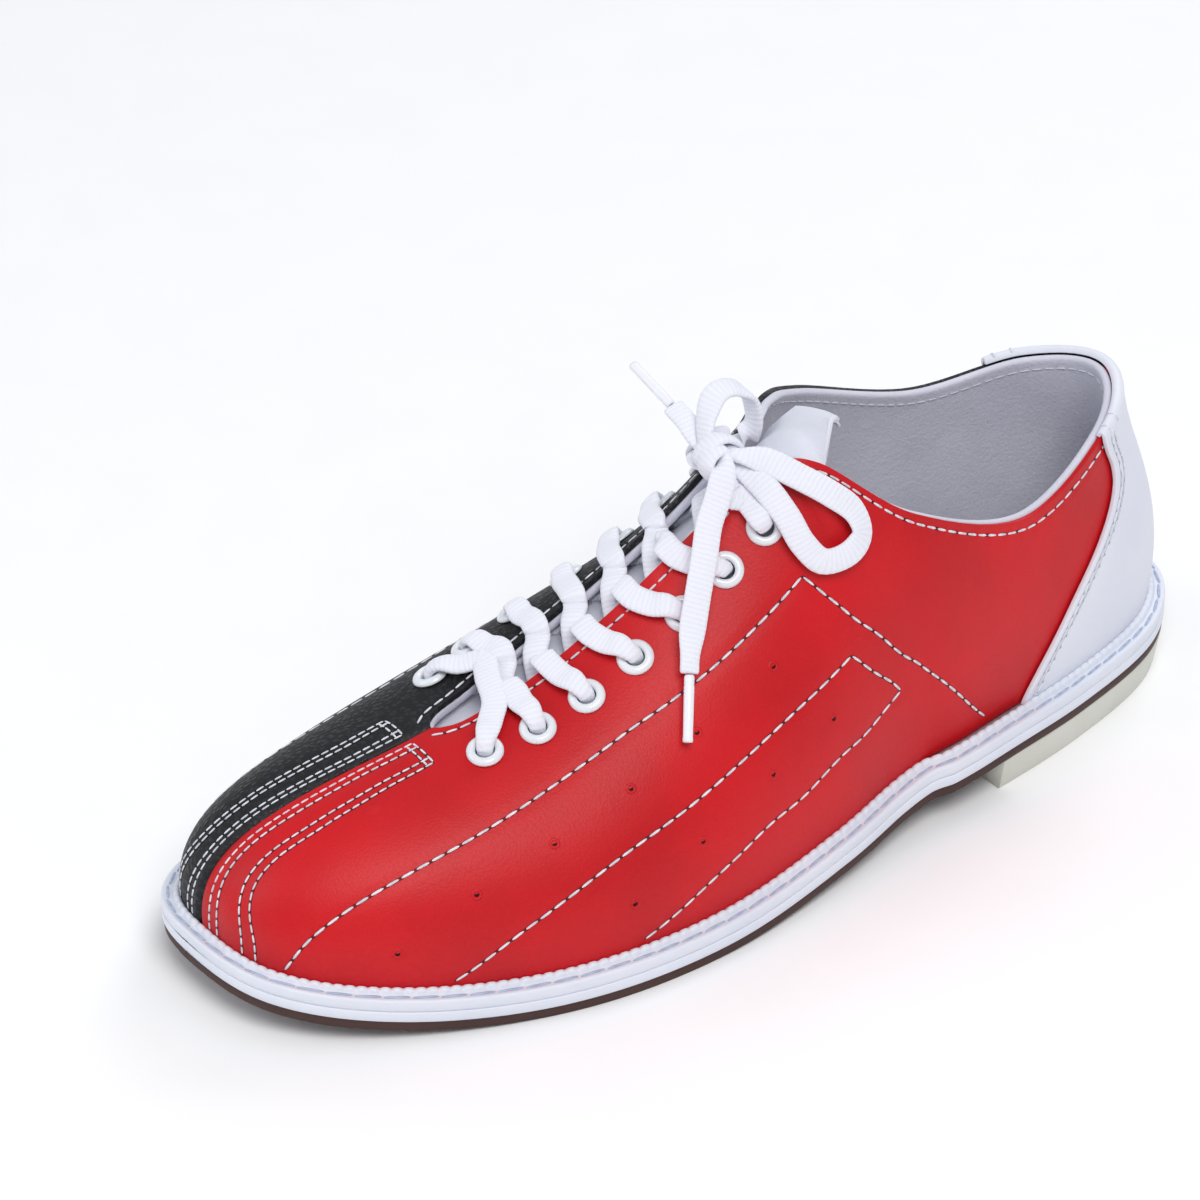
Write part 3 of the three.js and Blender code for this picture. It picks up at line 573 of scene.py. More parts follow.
# %% Rubbers, plastics and metal
def rubber(name, base, dark, rough, grain=400, depth=0.04, stain=0.25):
    """A moulded or pressed stuff: slow clouds of tone, fine grain and some stains."""
    f = Finish(name, Specular_IOR_Level=0.4)
    slow, fine = f.noise(40, 4), f.noise(grain, 3)
    dirt = f.noise(160, 6, 0.7).between(0.6, 0.8)
    f.color(f.blend(slow.between(0.35, 0.7) * 0.5 + dirt * stain, base, dark))
    f.rough(rough + fine * 0.12 + dirt * 0.08)
    return f.relief(fine + slow * 2, depth)


white_rubber = rubber("white_rubber", (0.76, 0.79, 0.87), (0.68, 0.72, 0.82), 0.38)
brown_rubber = rubber("brown_rubber", (0.062, 0.027, 0.022), (0.038, 0.018, 0.015), 0.55, 700, 0.1)
heel_rubber = rubber("heel_rubber", (0.66, 0.66, 0.60), (0.55, 0.55, 0.48), 0.45)
white_enamel = rubber("white_enamel", (0.80, 0.83, 0.87), (0.72, 0.75, 0.80), 0.16, 900, 0.02, 0.4)
white_enamel.node_tree.nodes["Principled BSDF"].inputs["Coat Weight"].default_value = 0.5
clear_plastic = rubber("clear_plastic", (0.84, 0.85, 0.90), (0.76, 0.77, 0.84), 0.2, 500, 0.05, 0.2)
fibre_board = rubber("fibre_board", (0.48, 0.34, 0.17), (0.33, 0.22, 0.11), 0.85, 1500, 0.3, 0.6)
cork_filler = rubber("cork_filler", (0.33, 0.18, 0.07), (0.17, 0.08, 0.03), 0.9, 450, 0.5, 0.8)
shank_steel = rubber("shank_steel", (0.42, 0.43, 0.45), (0.28, 0.27, 0.26), 0.3, 2200, 0.02, 0.5)
shank_steel.node_tree.nodes["Principled BSDF"].inputs["Metallic"].default_value = 1.0
floor_paint = rubber("floor_paint", (0.97, 0.97, 0.975), (0.95, 0.95, 0.96), 0.8, 60, 0.02, 0.1)
print("materials", len(bpy.data.materials))

# %% [markdown]
# ## The floor
# A plain pale sweep under the shoe. It is staging, no part of the object.

# %% Floor
bm = bmesh.new()
bmesh.ops.create_grid(bm, x_segments=2, y_segments=2, size=6)
floor_mesh = bpy.data.meshes.new("floor")
bm.to_mesh(floor_mesh)
bm.free()
floor = bpy.data.objects.new("floor", floor_mesh)
floor_mesh.materials.append(floor_paint)
bpy.context.collection.objects.link(floor)

# %% [markdown]
# ## Where the lace goes
# A shoe lace is one flat tubular braid about a metre long, its ends crimped in plastic. It runs straight
# across the two lowest eyelets, and from there each half climbs: out from under one facing, over the other
# and down into the next eyelet. A route point holds a place, the way the flat side faces, and the width
# there, because the braid bunches up where it passes an eyelet.

# %% Eyelet places
EYELETS = 7
MARGIN = (16.5, 12)  # from the top edge to the first and the last eyelet
EYELET_PLACE = {1: (2.26, 5.53), -1: (2.6, 5.6)}  # stations of the first and last eyelet of each side
GAP, LACE_ROUND = 0.3, 3.0
LACE_WIDTH, LACE_THICK = 6.8, 2.1
UNDER = -LACE_ROUND / 2 - GAP - 0.1  # middle of a lace that runs under the facings
SLANT = 0.52  # how far before its eyelet a strand crosses the edge, in eyelet pitches


def mix(a, b, share):
    """Part of the way from a to b."""
    return a + (b - a) * share


def facing_place(side, k, down, d):
    """A place by eyelet number k, a distance down from the top edge and d outside the foot space."""
    s = side * mix(*EYELET_PLACE[side], k / (EYELETS - 1))
    return wall(s, height_at(s, down), d)


def facing_normal(side, k):
    """The way out of the facing at its edge, by eyelet number k."""
    s = side * mix(*EYELET_PLACE[side], k / (EYELETS - 1))
    return wall_normal(s, 0.97)


def eyelet_at(side, i):
    """An eyelet's middle on the leather, and the way out there."""
    share = i / (EYELETS - 1)
    s = side * mix(*EYELET_PLACE[side], share)
    t = height_at(s, mix(*MARGIN, share), LEATHER)
    return wall(s, t, LEATHER), wall_normal(s, t)


def back_of(side, i):
    """The level way from an eyelet to the facing's edge."""
    centre, normal = eyelet_at(side, i)
    way = facing_place(side, i, 0, LEATHER) - centre
    return centre, normal, unit(way - normal * dot(way, normal))


def row(place, facing, width):
    """A route point: place, the way its flat side faces, and width."""
    return np.concatenate([place, facing, [width]])


def through_eyelet(side, i):
    """Down through an eyelet: along the slanting strand above the leather, square to the edge below."""
    centre, normal, square = back_of(side, i)
    lean = facing_place(side, i - SLANT if i > 0 else 0, 0, LEATHER) - centre
    lean = unit(lean - normal * dot(lean, normal))
    above = [(4.4, 3.1, 1, 6.2), (2.2, 2.9, 0.8, 5.2), (0.4, 1.9, 0.4, 4.5)]
    below = [(0, 0, 0, 4.2), (0, -2.8, 0, 4.3), (0.7, -4.6, -0.5, 5.0), (2.6, -LEATHER + UNDER, -1, 5.8)]
    return [row(centre + way * a + normal * b, unit(normal * n - way * (1 - abs(n))), w)
            for way, steps in ((lean, above), (square, below)) for a, b, n, w in steps]


def over_gap(side, k, out, d):
    """A place over the gap between the facings, a distance out from one facing's edge."""
    a, b = facing_place(side, k, 0, 0), facing_place(-side, k, 0, 0)
    s = sum(EYELET_PLACE[1]) / 2
    normal = unit(wall_normal(s, 1.0) + wall_normal(-s, 1.0))
    reach = np.linalg.norm(b - a) / 2 if out is None else out
    return a + unit(b - a) * reach + normal * d


def over(place, side, k):
    """A route point that lies flat to the facing."""
    return row(place, facing_normal(side, k), LACE_WIDTH)


def cross_over(side, i):
    """From under one facing, over the gap and onto the other."""
    high = 3.5 if side > 0 else -0.2
    rest = LEATHER + LACE_ROUND / 2 + 0.5
    middle = unit(facing_normal(1, i) + facing_normal(-1, i))
    return [
        over(facing_place(side, i + 0.02, 5, UNDER), side, i),
        over(facing_place(side, i + 0.05, 1, UNDER), side, i),
        over(over_gap(side, i + 0.08, 1.4, -1.4), side, i),
        row(over_gap(side, i + 0.27, None, high), middle, LACE_WIDTH),
        row(over_gap(-side, i + 0.42, 2.9, max(high, 2.4) + 0.3), middle, LACE_WIDTH),
        over(over_gap(-side, i + 0.47, 1.2, rest), -side, i),
        over(facing_place(-side, i + 0.54, 2, rest), -side, i),
        over(facing_place(-side, i + 0.70, 6.5, rest), -side, i),
    ]


def cross_under(side, i):
    """The last crossing, which stays under the facings and comes up through its eyelet."""
    high = 2.6 if side > 0 else -0.9
    middle = unit(facing_normal(1, i) + facing_normal(-1, i))
    return [
        over(facing_place(side, i + 0.2, 5, UNDER), side, i),
        over(facing_place(side, i + 0.26, 1, UNDER), side, i),
        over(over_gap(side, i + 0.3, 1.6, -1.2), side, i),
        row(over_gap(side, i + 0.45, None, high), middle, LACE_WIDTH),
        over(over_gap(-side, i + 0.6, 1.6, -1.2), -side, i),
        over(facing_place(-side, i + 0.66, 1, UNDER), -side, i),
        over(facing_place(-side, i + 0.75, 5, UNDER), -side, i),
        *through_eyelet(-side, i + 1)[::-1][:4],
    ]


# %% Routes of the laced part and the bow
def strand(side):
    """One half of the lace, from the lowest eyelets to the top."""
    route, at = [*through_eyelet(side, 0)], side
    for i in range(EYELETS - 2):
        route += [*cross_over(at, i), *through_eyelet(-at, i + 1)]
        at = -at
    return route + cross_under(at, EYELETS - 2)


rest = LEATHER + LACE_ROUND / 2 + 0.6
middle = unit(facing_normal(1, 0) + facing_normal(-1, 0))
bar = [over(facing_place(-1, 0, 8, rest), -1, 0), over(facing_place(-1, 0, 2, rest), -1, 0),
       row(over_gap(1, 0, None, rest + 0.4), middle, LACE_WIDTH),
       over(facing_place(1, 0, 2, rest), 1, 0), over(facing_place(1, 0, 8, rest), 1, 0)]
laced_route = np.array([*strand(-1)[::-1], *bar, *strand(1)])

KNOT = np.array([141.5, 5, 109])
KNOT_TILT = 0.12
TIGHT = LACE_ROUND / 2 + 0.2


def lead(side):
    """Up out of a top eyelet."""
    centre, normal, way = back_of(side, EYELETS - 1)
    steps = [(0, 1.2, 0, 4.3), (0.5, 2.6, 0.5, 4.8), (2.4, 3.8, 1, 5.6), (6, 4.6, 1, 6.4)]
    return [row(centre + way * a + normal * b, unit(normal * n - way * (1 - n)), w) for a, b, n, w in steps]


def in_knot(x, z, way, facing):
    """Straight through the knot, in one of its four corners."""
    places = [KNOT + (x * TIGHT, y * way, z * TIGHT + KNOT_TILT * y * way) for y in (-3.5, 0, 3.5)]
    return [row(p, unit(np.array(facing, float)), 4.6) for p in places]


def free(places, facing, width=LACE_WIDTH):
    """Route points in the open."""
    return [row(np.array(p, float), unit(np.array(facing, float)), width) for p in places]


bow_lateral_route = np.array([
    *lead(1)[:3],
    *free([(140, 13.5, 100.5), (144, 12, 103)], (0.3, 0.8, 0.5)),
    *in_knot(1, -1, -1, (1, 0, 0.3)),
    *free([(143, -2, 105.3), (137, -4.5, 104.3), (130, -3, 105.5)], (0.2, 0, -1)),
    *free([(126.5, -1.5, 110), (126.5, -3, 117)], (-1, 0, 0)),
    *free([(131, -4, 121.5), (136.5, -4, 121.5)], (0, 0.2, 1)),
    *free([(141, -2, 116)], (1, 0, 0.4)),
    *in_knot(1, 1, 1, (1, 0, 0.3)),
    *free([(146, 12, 108.5), (149, 13.5, 103.5), (152.5, 15, 98.5), (156.5, 18.3, 91.8)], (0.45, 0.75, 0.4)),
    *free([(161, 21.8, 84.5), (165.3, 25.2, 77)], (0.35, 0.8, 0.5)),
    *free([(168.3, 28.3, 72), (170, 30.4, 69)], (0.3, 0.8, 0.5), 5.0),
])
bow_medial_route = np.array([
    *lead(-1),
    *free([(135, -5.5, 109)], (0, -0.3, 1)),
    *in_knot(-1, 1, 1, (0, 0, 1)),
    *free([(134, 13, 109.5), (127.6, 19.9, 105.5), (122.2, 25, 101.4)], (0.5, 0.7, 0.7)),
    *free([(117.2, 28.6, 96), (116.6, 31.2, 90.5)], (-0.2, 1, 0.3)),
    *free([(121.2, 32, 86.8), (128, 30.2, 86)], (0.3, 1, 0.3)),
    *free([(132, 27, 91), (134, 22.5, 98), (136.5, 15.5, 104.5)], (0.5, 0.75, 0.5)),
    *in_knot(-1, -1, -1, (0.4, 0, 1)),
    *free([(142, -4, 110.5), (142, -9, 113), (142, -15, 114.5)], (0.35, 0.3, 1), 5.6),
])
print("route points", len(laced_route), len(bow_lateral_route), len(bow_medial_route))


# %% Drawing a smooth line through a route
def centripetal(points, step):
    """The smooth curve through route points, in rows at equal steps, and its length."""
    p = np.asarray(points, float)
    p = np.vstack([2 * p[0] - p[1], p, 2 * p[-1] - p[-2]])
    knots = np.concatenate([[0], np.cumsum(np.linalg.norm(np.diff(p[:, :3], axis=0), axis=1) ** 0.5 + 1e-9)])
    fine = []
    for i in range(1, len(p) - 2):
        t0, t1, t2, t3 = knots[i - 1 : i + 3]
        t = np.linspace(t1, t2, 24, endpoint=False)[:, None]
        a1 = (t1 - t) / (t1 - t0) * p[i - 1] + (t - t0) / (t1 - t0) * p[i]
        a2 = (t2 - t) / (t2 - t1) * p[i] + (t - t1) / (t2 - t1) * p[i + 1]
        a3 = (t3 - t) / (t3 - t2) * p[i + 1] + (t - t2) / (t3 - t2) * p[i + 2]
        b1 = (t2 - t) / (t2 - t0) * a1 + (t - t0) / (t2 - t0) * a2
        b2 = (t3 - t) / (t3 - t1) * a2 + (t - t1) / (t3 - t1) * a3
        fine.append((t2 - t) / (t2 - t1) * b1 + (t - t1) / (t2 - t1) * b2)
    fine = np.vstack([*fine, p[-2]])
    gone = gone_along(fine[:, :3])
    n = max(2, int(round(gone[-1] / step)))
    at = np.linspace(0, gone[-1], n + 1)
    return np.stack([np.interp(at, gone, column) for column in fine.T], -1), gone[-1]


def same_way(route):
    """A braid has two alike faces, so each facing is turned to the side nearer the one before it."""
    route = route.copy()
    for i in range(1, len(route)):
        if route[i, 3:6] @ route[i - 1, 3:6] < 0:
            route[i, 3:6] *= -1
    return route


# %% [markdown]
# ## The laces
# Seen close, the braid is a flattened soft tube with rounded sides and fine ribs across it. One grid is
# wrapped round the route: its length follows the route, its width the flattened ring, and each rib swells
# it a little.


# %% Lace
def braid(name, route, replaces, step=0.3, around=18):
    """A piece of lace along a route, with the line it follows and its length in metres."""
    line, length = centripetal(same_way(route), step)
    place, facing, width = line[:, :3], line[:, 3:6], line[:, 6]
    way = unit(np.gradient(place, axis=0))
    facing = unit(facing - way * dot(facing, way))
    span = np.cross(way, facing)
    kernel = np.hanning(15) / np.hanning(15).sum()
    width = np.convolve(np.pad(width, 7, "edge"), kernel, "valid")
    thick = np.clip(LACE_THICK * (LACE_WIDTH / width) ** 0.6, 0, 2.8)
    at = np.linspace(0, length, len(line))
    swelling = 1 + RIB_SWELL * np.cos(2 * math.pi * at / LACE_RIB)
    ends = np.sqrt(np.clip(np.minimum(at, length - at) / 0.8, 0.0, 1)) * 0.5 + 0.5

    def surround(u, v):
        i = np.rint(u * (len(line) - 1)).astype(int)
        angle = v * 2 * math.pi
        across = np.sign(np.cos(angle)) * np.abs(np.cos(angle)) ** 0.8
        proud = np.sign(np.sin(angle)) * np.abs(np.sin(angle)) ** 0.75
        size = (swelling * ends)[i]
        return (place[i] + span[i] * (across * width[i] / 2 * (1 + (size - 1) * 0.3))[:, None]
                + facing[i] * (proud * thick[i] / 2 * size)[:, None])

    bm = grid(len(line) - 1, around, surround)
    layer = bm.loops.layers.uv.active
    for face in bm.faces:
        for loop in face.loops:
            u, v = loop[layer].uv
            loop[layer].uv = (u * length / 1000, abs(v - 0.5) * 0.016)
    bmesh.ops.remove_doubles(bm, verts=bm.verts, dist=SAME)
    bmesh.ops.holes_fill(bm, edges=[e for e in bm.edges if e.is_boundary], sides=0)
    bmesh.ops.recalc_face_normals(bm, faces=bm.faces)
    piece = finish_piece(bm, name, white_cord, replaces=replaces)
    print(name, "length", round(length, 1), "mm, faces", len(piece.data.polygons))
    return piece, metres(place), length / 1000


braid("lace_laced_part", laced_route, ["lace"], step=0.34, around=14)
bow_a, path_a, length_a = braid("lace_end_outer", bow_lateral_route, ["bow_lateral"])
bow_b, path_b, length_b = braid("lace_end_inner", bow_medial_route, ["bow_medial"])


# %% Aglets
def turned(name, profile, place, axis, material, replaces, steps, squash=1.0):
    """A round piece: a profile of (radius, height) in millimetres spun about an axis through a place."""
    bm = bmesh.new()
    verts = [bm.verts.new((r / 1000, 0, h / 1000)) for r, h in profile]
    loop = [bm.edges.new((a, b)) for a, b in zip(verts, verts[1:] + verts[:1])]
    bmesh.ops.spin(bm, geom=verts + loop, cent=(0, 0, 0), axis=(0, 0, 1), dvec=(0, 0, 0),
                   angle=2 * math.pi, steps=steps, use_merge=True, use_duplicate=False)
    bmesh.ops.remove_doubles(bm, verts=bm.verts, dist=1e-6)
    bmesh.ops.recalc_face_normals(bm, faces=bm.faces)
    stand = Vector(axis).to_track_quat("Z", "Y").to_matrix().to_4x4()
    stand = Matrix.Translation(Vector(place)) @ stand @ Matrix.Diagonal((1, squash, 1, 1))
    bmesh.ops.transform(bm, matrix=stand, verts=bm.verts)
    return finish_piece(bm, name, material, replaces=replaces)


aglet_profile = [(0.45, 0), (1.05, 0.05), (1.3, 0.5), (1.32, 2.2), (1.24, 2.6), (1.34, 3.0), (1.3, 9),
                 (1.26, 15.5), (1.34, 16.4), (1.2, 16.95), (0.75, 17), (0.7, 16.6), (0.45, 16.6)]
AGLET_GAP = 0.0003
aglets = []
for word, node, path in (("outer", "lateral", path_a), ("inner", "medial", path_b)):
    axis = unit(path[-1] - path[-4])
    aglets.append(turned(f"lace_tip_{word}", aglet_profile, path[-1] + axis * AGLET_GAP, axis, clear_plastic,
                         [f"aglet_{node}"], steps=20, squash=0.9))
print("aglets", len(aglets))

# %% [markdown]
# ## The free ends
# Each half of the bow leaves its top eyelet, goes through the knot and ends in its plastic tip. Their
# lengths are their routes' own.

for piece, path, length, tip in ((bow_a, path_a, length_a, aglets[0]), (bow_b, path_b, length_b, aglets[1])):
    points = path[:: max(1, len(path) // 70)]
    points = np.vstack([points, path[-1]])
print("bow lengths", round(length_a, 4), round(length_b, 4))

# %% [markdown]
# ## Stitched lines
# The upper carries several rows of white lockstitch: two double rows beside the toe seam, a peaked line and a
# long narrow loop on each side, and a plain row just inside every edge. A row is a line on the leather. It
# pulls the leather down a little, so the rows are laid out before the leather is made.


# %% Rows on the leather
def dense(places):
    """A smooth line through a few (s, t) places."""
    table = np.array(places, float)
    return along(table, np.linspace(0, len(table) - 1, 160))


def on_leather(line, d=LEATHER):
    """A line of (s, t) as places and the ways out there."""
    s, t = line[:, 0], line[:, 1]
    return wall(s, t, d), wall_normal(s, t)


def seam_row(share):
    """A row beside the toe seam: the outermost one drawn in towards the seam by a share."""
    s, t = dense(OUTER_ROW).T
    return np.stack([s * share, t + (1 - share) * 0.045 * smooth(t, 0.6, 0.87)], -1)


def box_end(share, before):
    """Where such a row meets the end of the box, or a line before it."""
    line = seam_row(share)
    end = wall(1.54, 0.865, LEATHER)[0] + before
    gone = on_leather(line)[0][:, 0]
    return np.array([np.interp(-end, -gone, column) for column in line.T])


def inside_edge(stations, down):
    """A line at one distance below the top edge."""
    return np.array([(s, height_at(s, down, LEATHER)) for s in stations])


OUTER_ROW = [(0.8, 0.02), (0.78, 0.11), (0.66, 0.24), (0.61, 0.34), (0.64, 0.46), (0.76, 0.59), (0.9, 0.70),
             (1.14, 0.80), (1.54, 0.865), (2.0, 0.91)]
SEAM_SHARES = (0.24, 0.40, 0.82, 1.0)
PEAK_UP = [(1.06, 0.03), (1.3, 0.22), (1.64, 0.38), (2.14, 0.51), (2.76, 0.61), (3.5, 0.655), (4.06, 0.66),
           (4.72, 0.665), (5.54, 0.68)]
PEAK_DOWN = [(5.54, 0.68), (5.7, 0.57), (5.96, 0.46), (6.46, 0.36), (7.1, 0.28), (7.6, 0.19), (8.1, 0.03)]
LOOP_UP = [(2.26, 0.03), (2.7, 0.20), (3.22, 0.31), (3.88, 0.365), (4.6, 0.40), (5.62, 0.41)]
LOOP_END = [(5.62, 0.41), (5.9, 0.32), (6.38, 0.23)]
LOOP_DOWN = [(6.38, 0.23), (5.6, 0.2), (5.14, 0.2), (4.74, 0.18), (4.42, 0.175), (4.16, 0.15), (3.92, 0.12),
             (3.68, 0.08), (3.4, 0.03)]
HOLES = [(1.9, 0.15), (2.36, 0.34), (2.84, 0.44), (3.46, 0.5), (4.08, 0.54), (4.84, 0.55),
         (3.34, 0.16), (3.9, 0.25), (4.52, 0.3), (5.18, 0.31)]
EDGE_DOWN, COVER_JOIN = 3.0, 10.0


def rows_of(side):
    """All rows of one side as (name, line) pairs, each line in (s, t)."""
    rows = []
    for share in SEAM_SHARES:
        line, end = seam_row(share), box_end(share, 0)
        rows.append(("fine", np.vstack([line[line[:, 1] < end[1]], end]) * (side, 1)))
    for before in (0, 1.8):
        line = [box_end(share, before) for share in np.linspace(SEAM_SHARES[0], 1, 16)]
        rows.append(("fine", np.array(line) * (side, 1)))
    for places in (PEAK_UP, PEAK_DOWN, LOOP_UP, LOOP_END, LOOP_DOWN):
        rows.append(("long", dense(places) * (side, 1)))
    stations = np.concatenate([np.linspace(0.75, 6.3, 60), np.linspace(6.4, COVER_JOIN, 50)]) * side
    rows.append(("edge", inside_edge(stations, EDGE_DOWN)))
    return rows


rows = {side: rows_of(side) for side in (1, -1)}
print("rows a side", len(rows[1]))

# %% [markdown]
# ## The two halves of the upper
# Each half is one piece of leather from the toe seam round to the back. It is drawn as a grid on the last,
# sunk a little along every stitched line, rolled in at the toe seam, and opened at the eyelets.


# %% Leather halves
ROW_SINK, ROW_SPREAD = 0.22, 1.7  # how deep a row pulls the leather in, and how far to each side
HOLE, BATCH = 3.3, 4000


def sink(points, lines):
    """How far each point is pulled in by the rows near it, in millimetres, worked out in batches."""
    pulled = np.zeros(len(points))
    for line, _ in lines:
        for start in range(0, len(points), BATCH):
            part = slice(start, start + BATCH)
            near = np.linalg.norm(points[part, None] - line[None, ::2], axis=-1).min(1)
            pulled[part] = np.maximum(pulled[part], np.exp(-((near / ROW_SPREAD) ** 2)))
    return pulled * ROW_SINK


def open_eyelets(bm, side, d):
    """Cuts a round hole at each eyelet, in the sheet that lies d outside the foot space."""
    for i in range(EYELETS):
        centre, normal = eyelet_at(side, i)
        spot, axis = Vector(metres(centre + normal * (d - LEATHER))), Vector(normal)
        ring = HOLE / 1000

        def off(vert):
            gap_ = vert.co - spot
            return (gap_ - axis * gap_.dot(axis)).length if abs(gap_.dot(axis)) < 0.004 else 1.0

        inside = [v for v in bm.verts if off(v) < ring * 0.92]
        bmesh.ops.delete(bm, geom=inside, context="VERTS")
        edge = {v for e in bm.edges if e.is_boundary for v in e.verts if off(v) < ring * 1.7}
        for v in edge:
            gap_ = v.co - spot
            high = axis * gap_.dot(axis)
            v.co = spot + high + (gap_ - high).normalized() * ring


def leather_half(name, side, material, node):
    """One half of the upper."""
    stations = even_stations(0, side * HEEL, 270)
    if side < 0:
        stations = stations[::-1]

    def place(u, v):
        s = np.interp(u, np.linspace(0, 1, len(stations)), stations)
        base = wall(s, v, LEATHER)
        seam = np.abs(np.linalg.norm(base - wall(s * 0, v, LEATHER), axis=-1))
        roll = np.clip(1 - seam / 1.3, 0, 1)
        close = np.clip(1 - seam / 6, 0, 1)
        down = sink(base, [on_leather(line) for _, line in rows[side]])
        drop_ = 0.95 * (1 - np.sqrt(1 - roll**2 * 0.98)) - 0.25 * close * (1 - roll) + down
        return wall(s, v, LEATHER - drop_)

    bm = grid(len(stations) - 1, 84, place)
    open_eyelets(bm, side, LEATHER)
    piece = finish_piece(bm, name, material, replaces=[node])
    thicken(piece, LEATHER_WALL, 0.4)
    return piece


outer_half = leather_half("upper_outer_half", 1, red_leather, "quarter_lateral")
inner_half = leather_half("upper_inner_half", -1, black_leather, "quarter_medial")
print("leather faces", len(outer_half.data.polygons), len(inner_half.data.polygons))

# %% [markdown]
# ## Stitches
# A lockstitch seen from above is a short plump thread lying between two needle holes. Each is a small ball
# drawn out along the row with blunt ends. Under them runs a narrow dark line of painted shade, standing for
# the groove where the thread presses the leather.


# %% Stitch helpers
def stitch_ball():
    """The shape of every stitch: a small ball with blunt ends."""
    bm = bmesh.new()
    bmesh.ops.create_uvsphere(bm, u_segments=6, v_segments=5, radius=0.5)
    bmesh.ops.rotate(bm, verts=bm.verts, matrix=Matrix.Rotation(math.pi / 2, 3, "Y"))
    for v in bm.verts:
        v.co.x = math.copysign(abs(2 * v.co.x) ** 0.55 / 2, v.co.x)
    mesh = bpy.data.meshes.new("stitch")
    bm.to_mesh(mesh)
    bm.free()
    return mesh


ball = stitch_ball()


def spaced(points, normals, pitch):
    """Places at a pitch along a line, with the way along and the way up at each."""
    gone = gone_along(points)
    n = max(1, int(round(gone[-1] / pitch)))
    at = (np.arange(n) + 0.5) * gone[-1] / n
    read = lambda table, x: np.stack([np.interp(x, gone, c) for c in table.T], -1)
    half = gone[-1] / n / 2
    return read(points, at), unit(read(points, at + half * 0.8) - read(points, at - half * 0.8)), \
        unit(read(normals, at)), gone[-1] / n


def lay_stitches(bm, points, normals, pitch, share=0.84, wide=0.7, tall=0.5, lift=0.08, slant=0.0):
    """Lays stitches on a line, sizes in millimetres. share is how much of the pitch each takes."""
    places, ways, ups, real = spaced(points, normals, pitch)
    for k, (p, way, up) in enumerate(zip(metres(places + ups * lift), ways, ups)):
        way = unit(way + np.cross(up, way) * slant)
        side_ = np.cross(up, way)
        turn_ = Matrix(np.stack([way, side_, np.cross(way, side_)], -1).tolist()).to_4x4()
        size = Matrix.Diagonal((real * share / 1000, wide / 1000, tall / 1000, 1))
        copy = ball.copy()
        copy.transform(Matrix.Translation(Vector(p)) @ turn_ @ size)
        bm.from_mesh(copy)
        bpy.data.meshes.remove(copy)
    return len(places)


def lay_painted_shade_line(bm, points, normals, wide=0.85):
    """A narrow raised dark line under a row of stitches: painted shade standing for the groove the thread
    presses in.
    """
    tall = 0.2
    way = unit(np.gradient(points, axis=0))
    side_ = np.cross(normals, way)

    def surround(u, v):
        i = np.rint(u * (len(points) - 1)).astype(int)
        angle = (v * 2 * math.pi)[:, None]
        taper = np.where((i == 0) | (i == len(points) - 1), 0.3, 1.0)[:, None]
        out = side_[i] * np.cos(angle) * wide / 2 + normals[i] * np.sin(angle) * tall / 2
        return points[i] + taper * out

    add_into(bm, grid(len(points) - 1, 6, surround, join=True, cap=True))


STITCH = {"fine": (2.7, 0.6), "long": (4.3, 0.72), "edge": (3.7, 0.7)}  # pitch and width
STITCH_DEPTH, SEWN_PITCH = 0.17, 3.4
# painted shade: each leather's colour darkened, for the lines of painted shade under the stitches
painted_shade_red = smooth_leather("painted_shade_red", (0.16, 0.002, 0.004), (0.10, 0.002, 0.003), (0.2, 0.01, 0.01), 0.5)
painted_shade_black = smooth_leather("painted_shade_black", (0.008, 0.008, 0.01), (0.004, 0.004, 0.005),
                           (0.012, 0.012, 0.014), 0.5)
painted_shade_white = smooth_leather("painted_shade_white", (0.42, 0.44, 0.54), (0.34, 0.36, 0.46), (0.5, 0.52, 0.6), 0.5)
count = 0
sides = ((1, "outer", painted_shade_red, "red_leather"), (-1, "inner", painted_shade_black, "black_leather"))
for side, word, painted_shade_material, slot in sides:
    threads, painted_shade_lines = bmesh.new(), bmesh.new()
    for kind, line in rows[side]:
        points, normals = on_leather(line, LEATHER - STITCH_DEPTH)
        pitch, wide = STITCH[kind]
        count += lay_stitches(threads, points, normals, pitch, wide=wide)
        # a line of painted shade under the row
        lay_painted_shade_line(painted_shade_lines, points, normals)
    finish_piece(threads, f"stitches_{word}", white_thread)
    finish_piece(painted_shade_lines, f"stitch_painted_shade_{word}", painted_shade_material)
print("stitches on the halves", count)


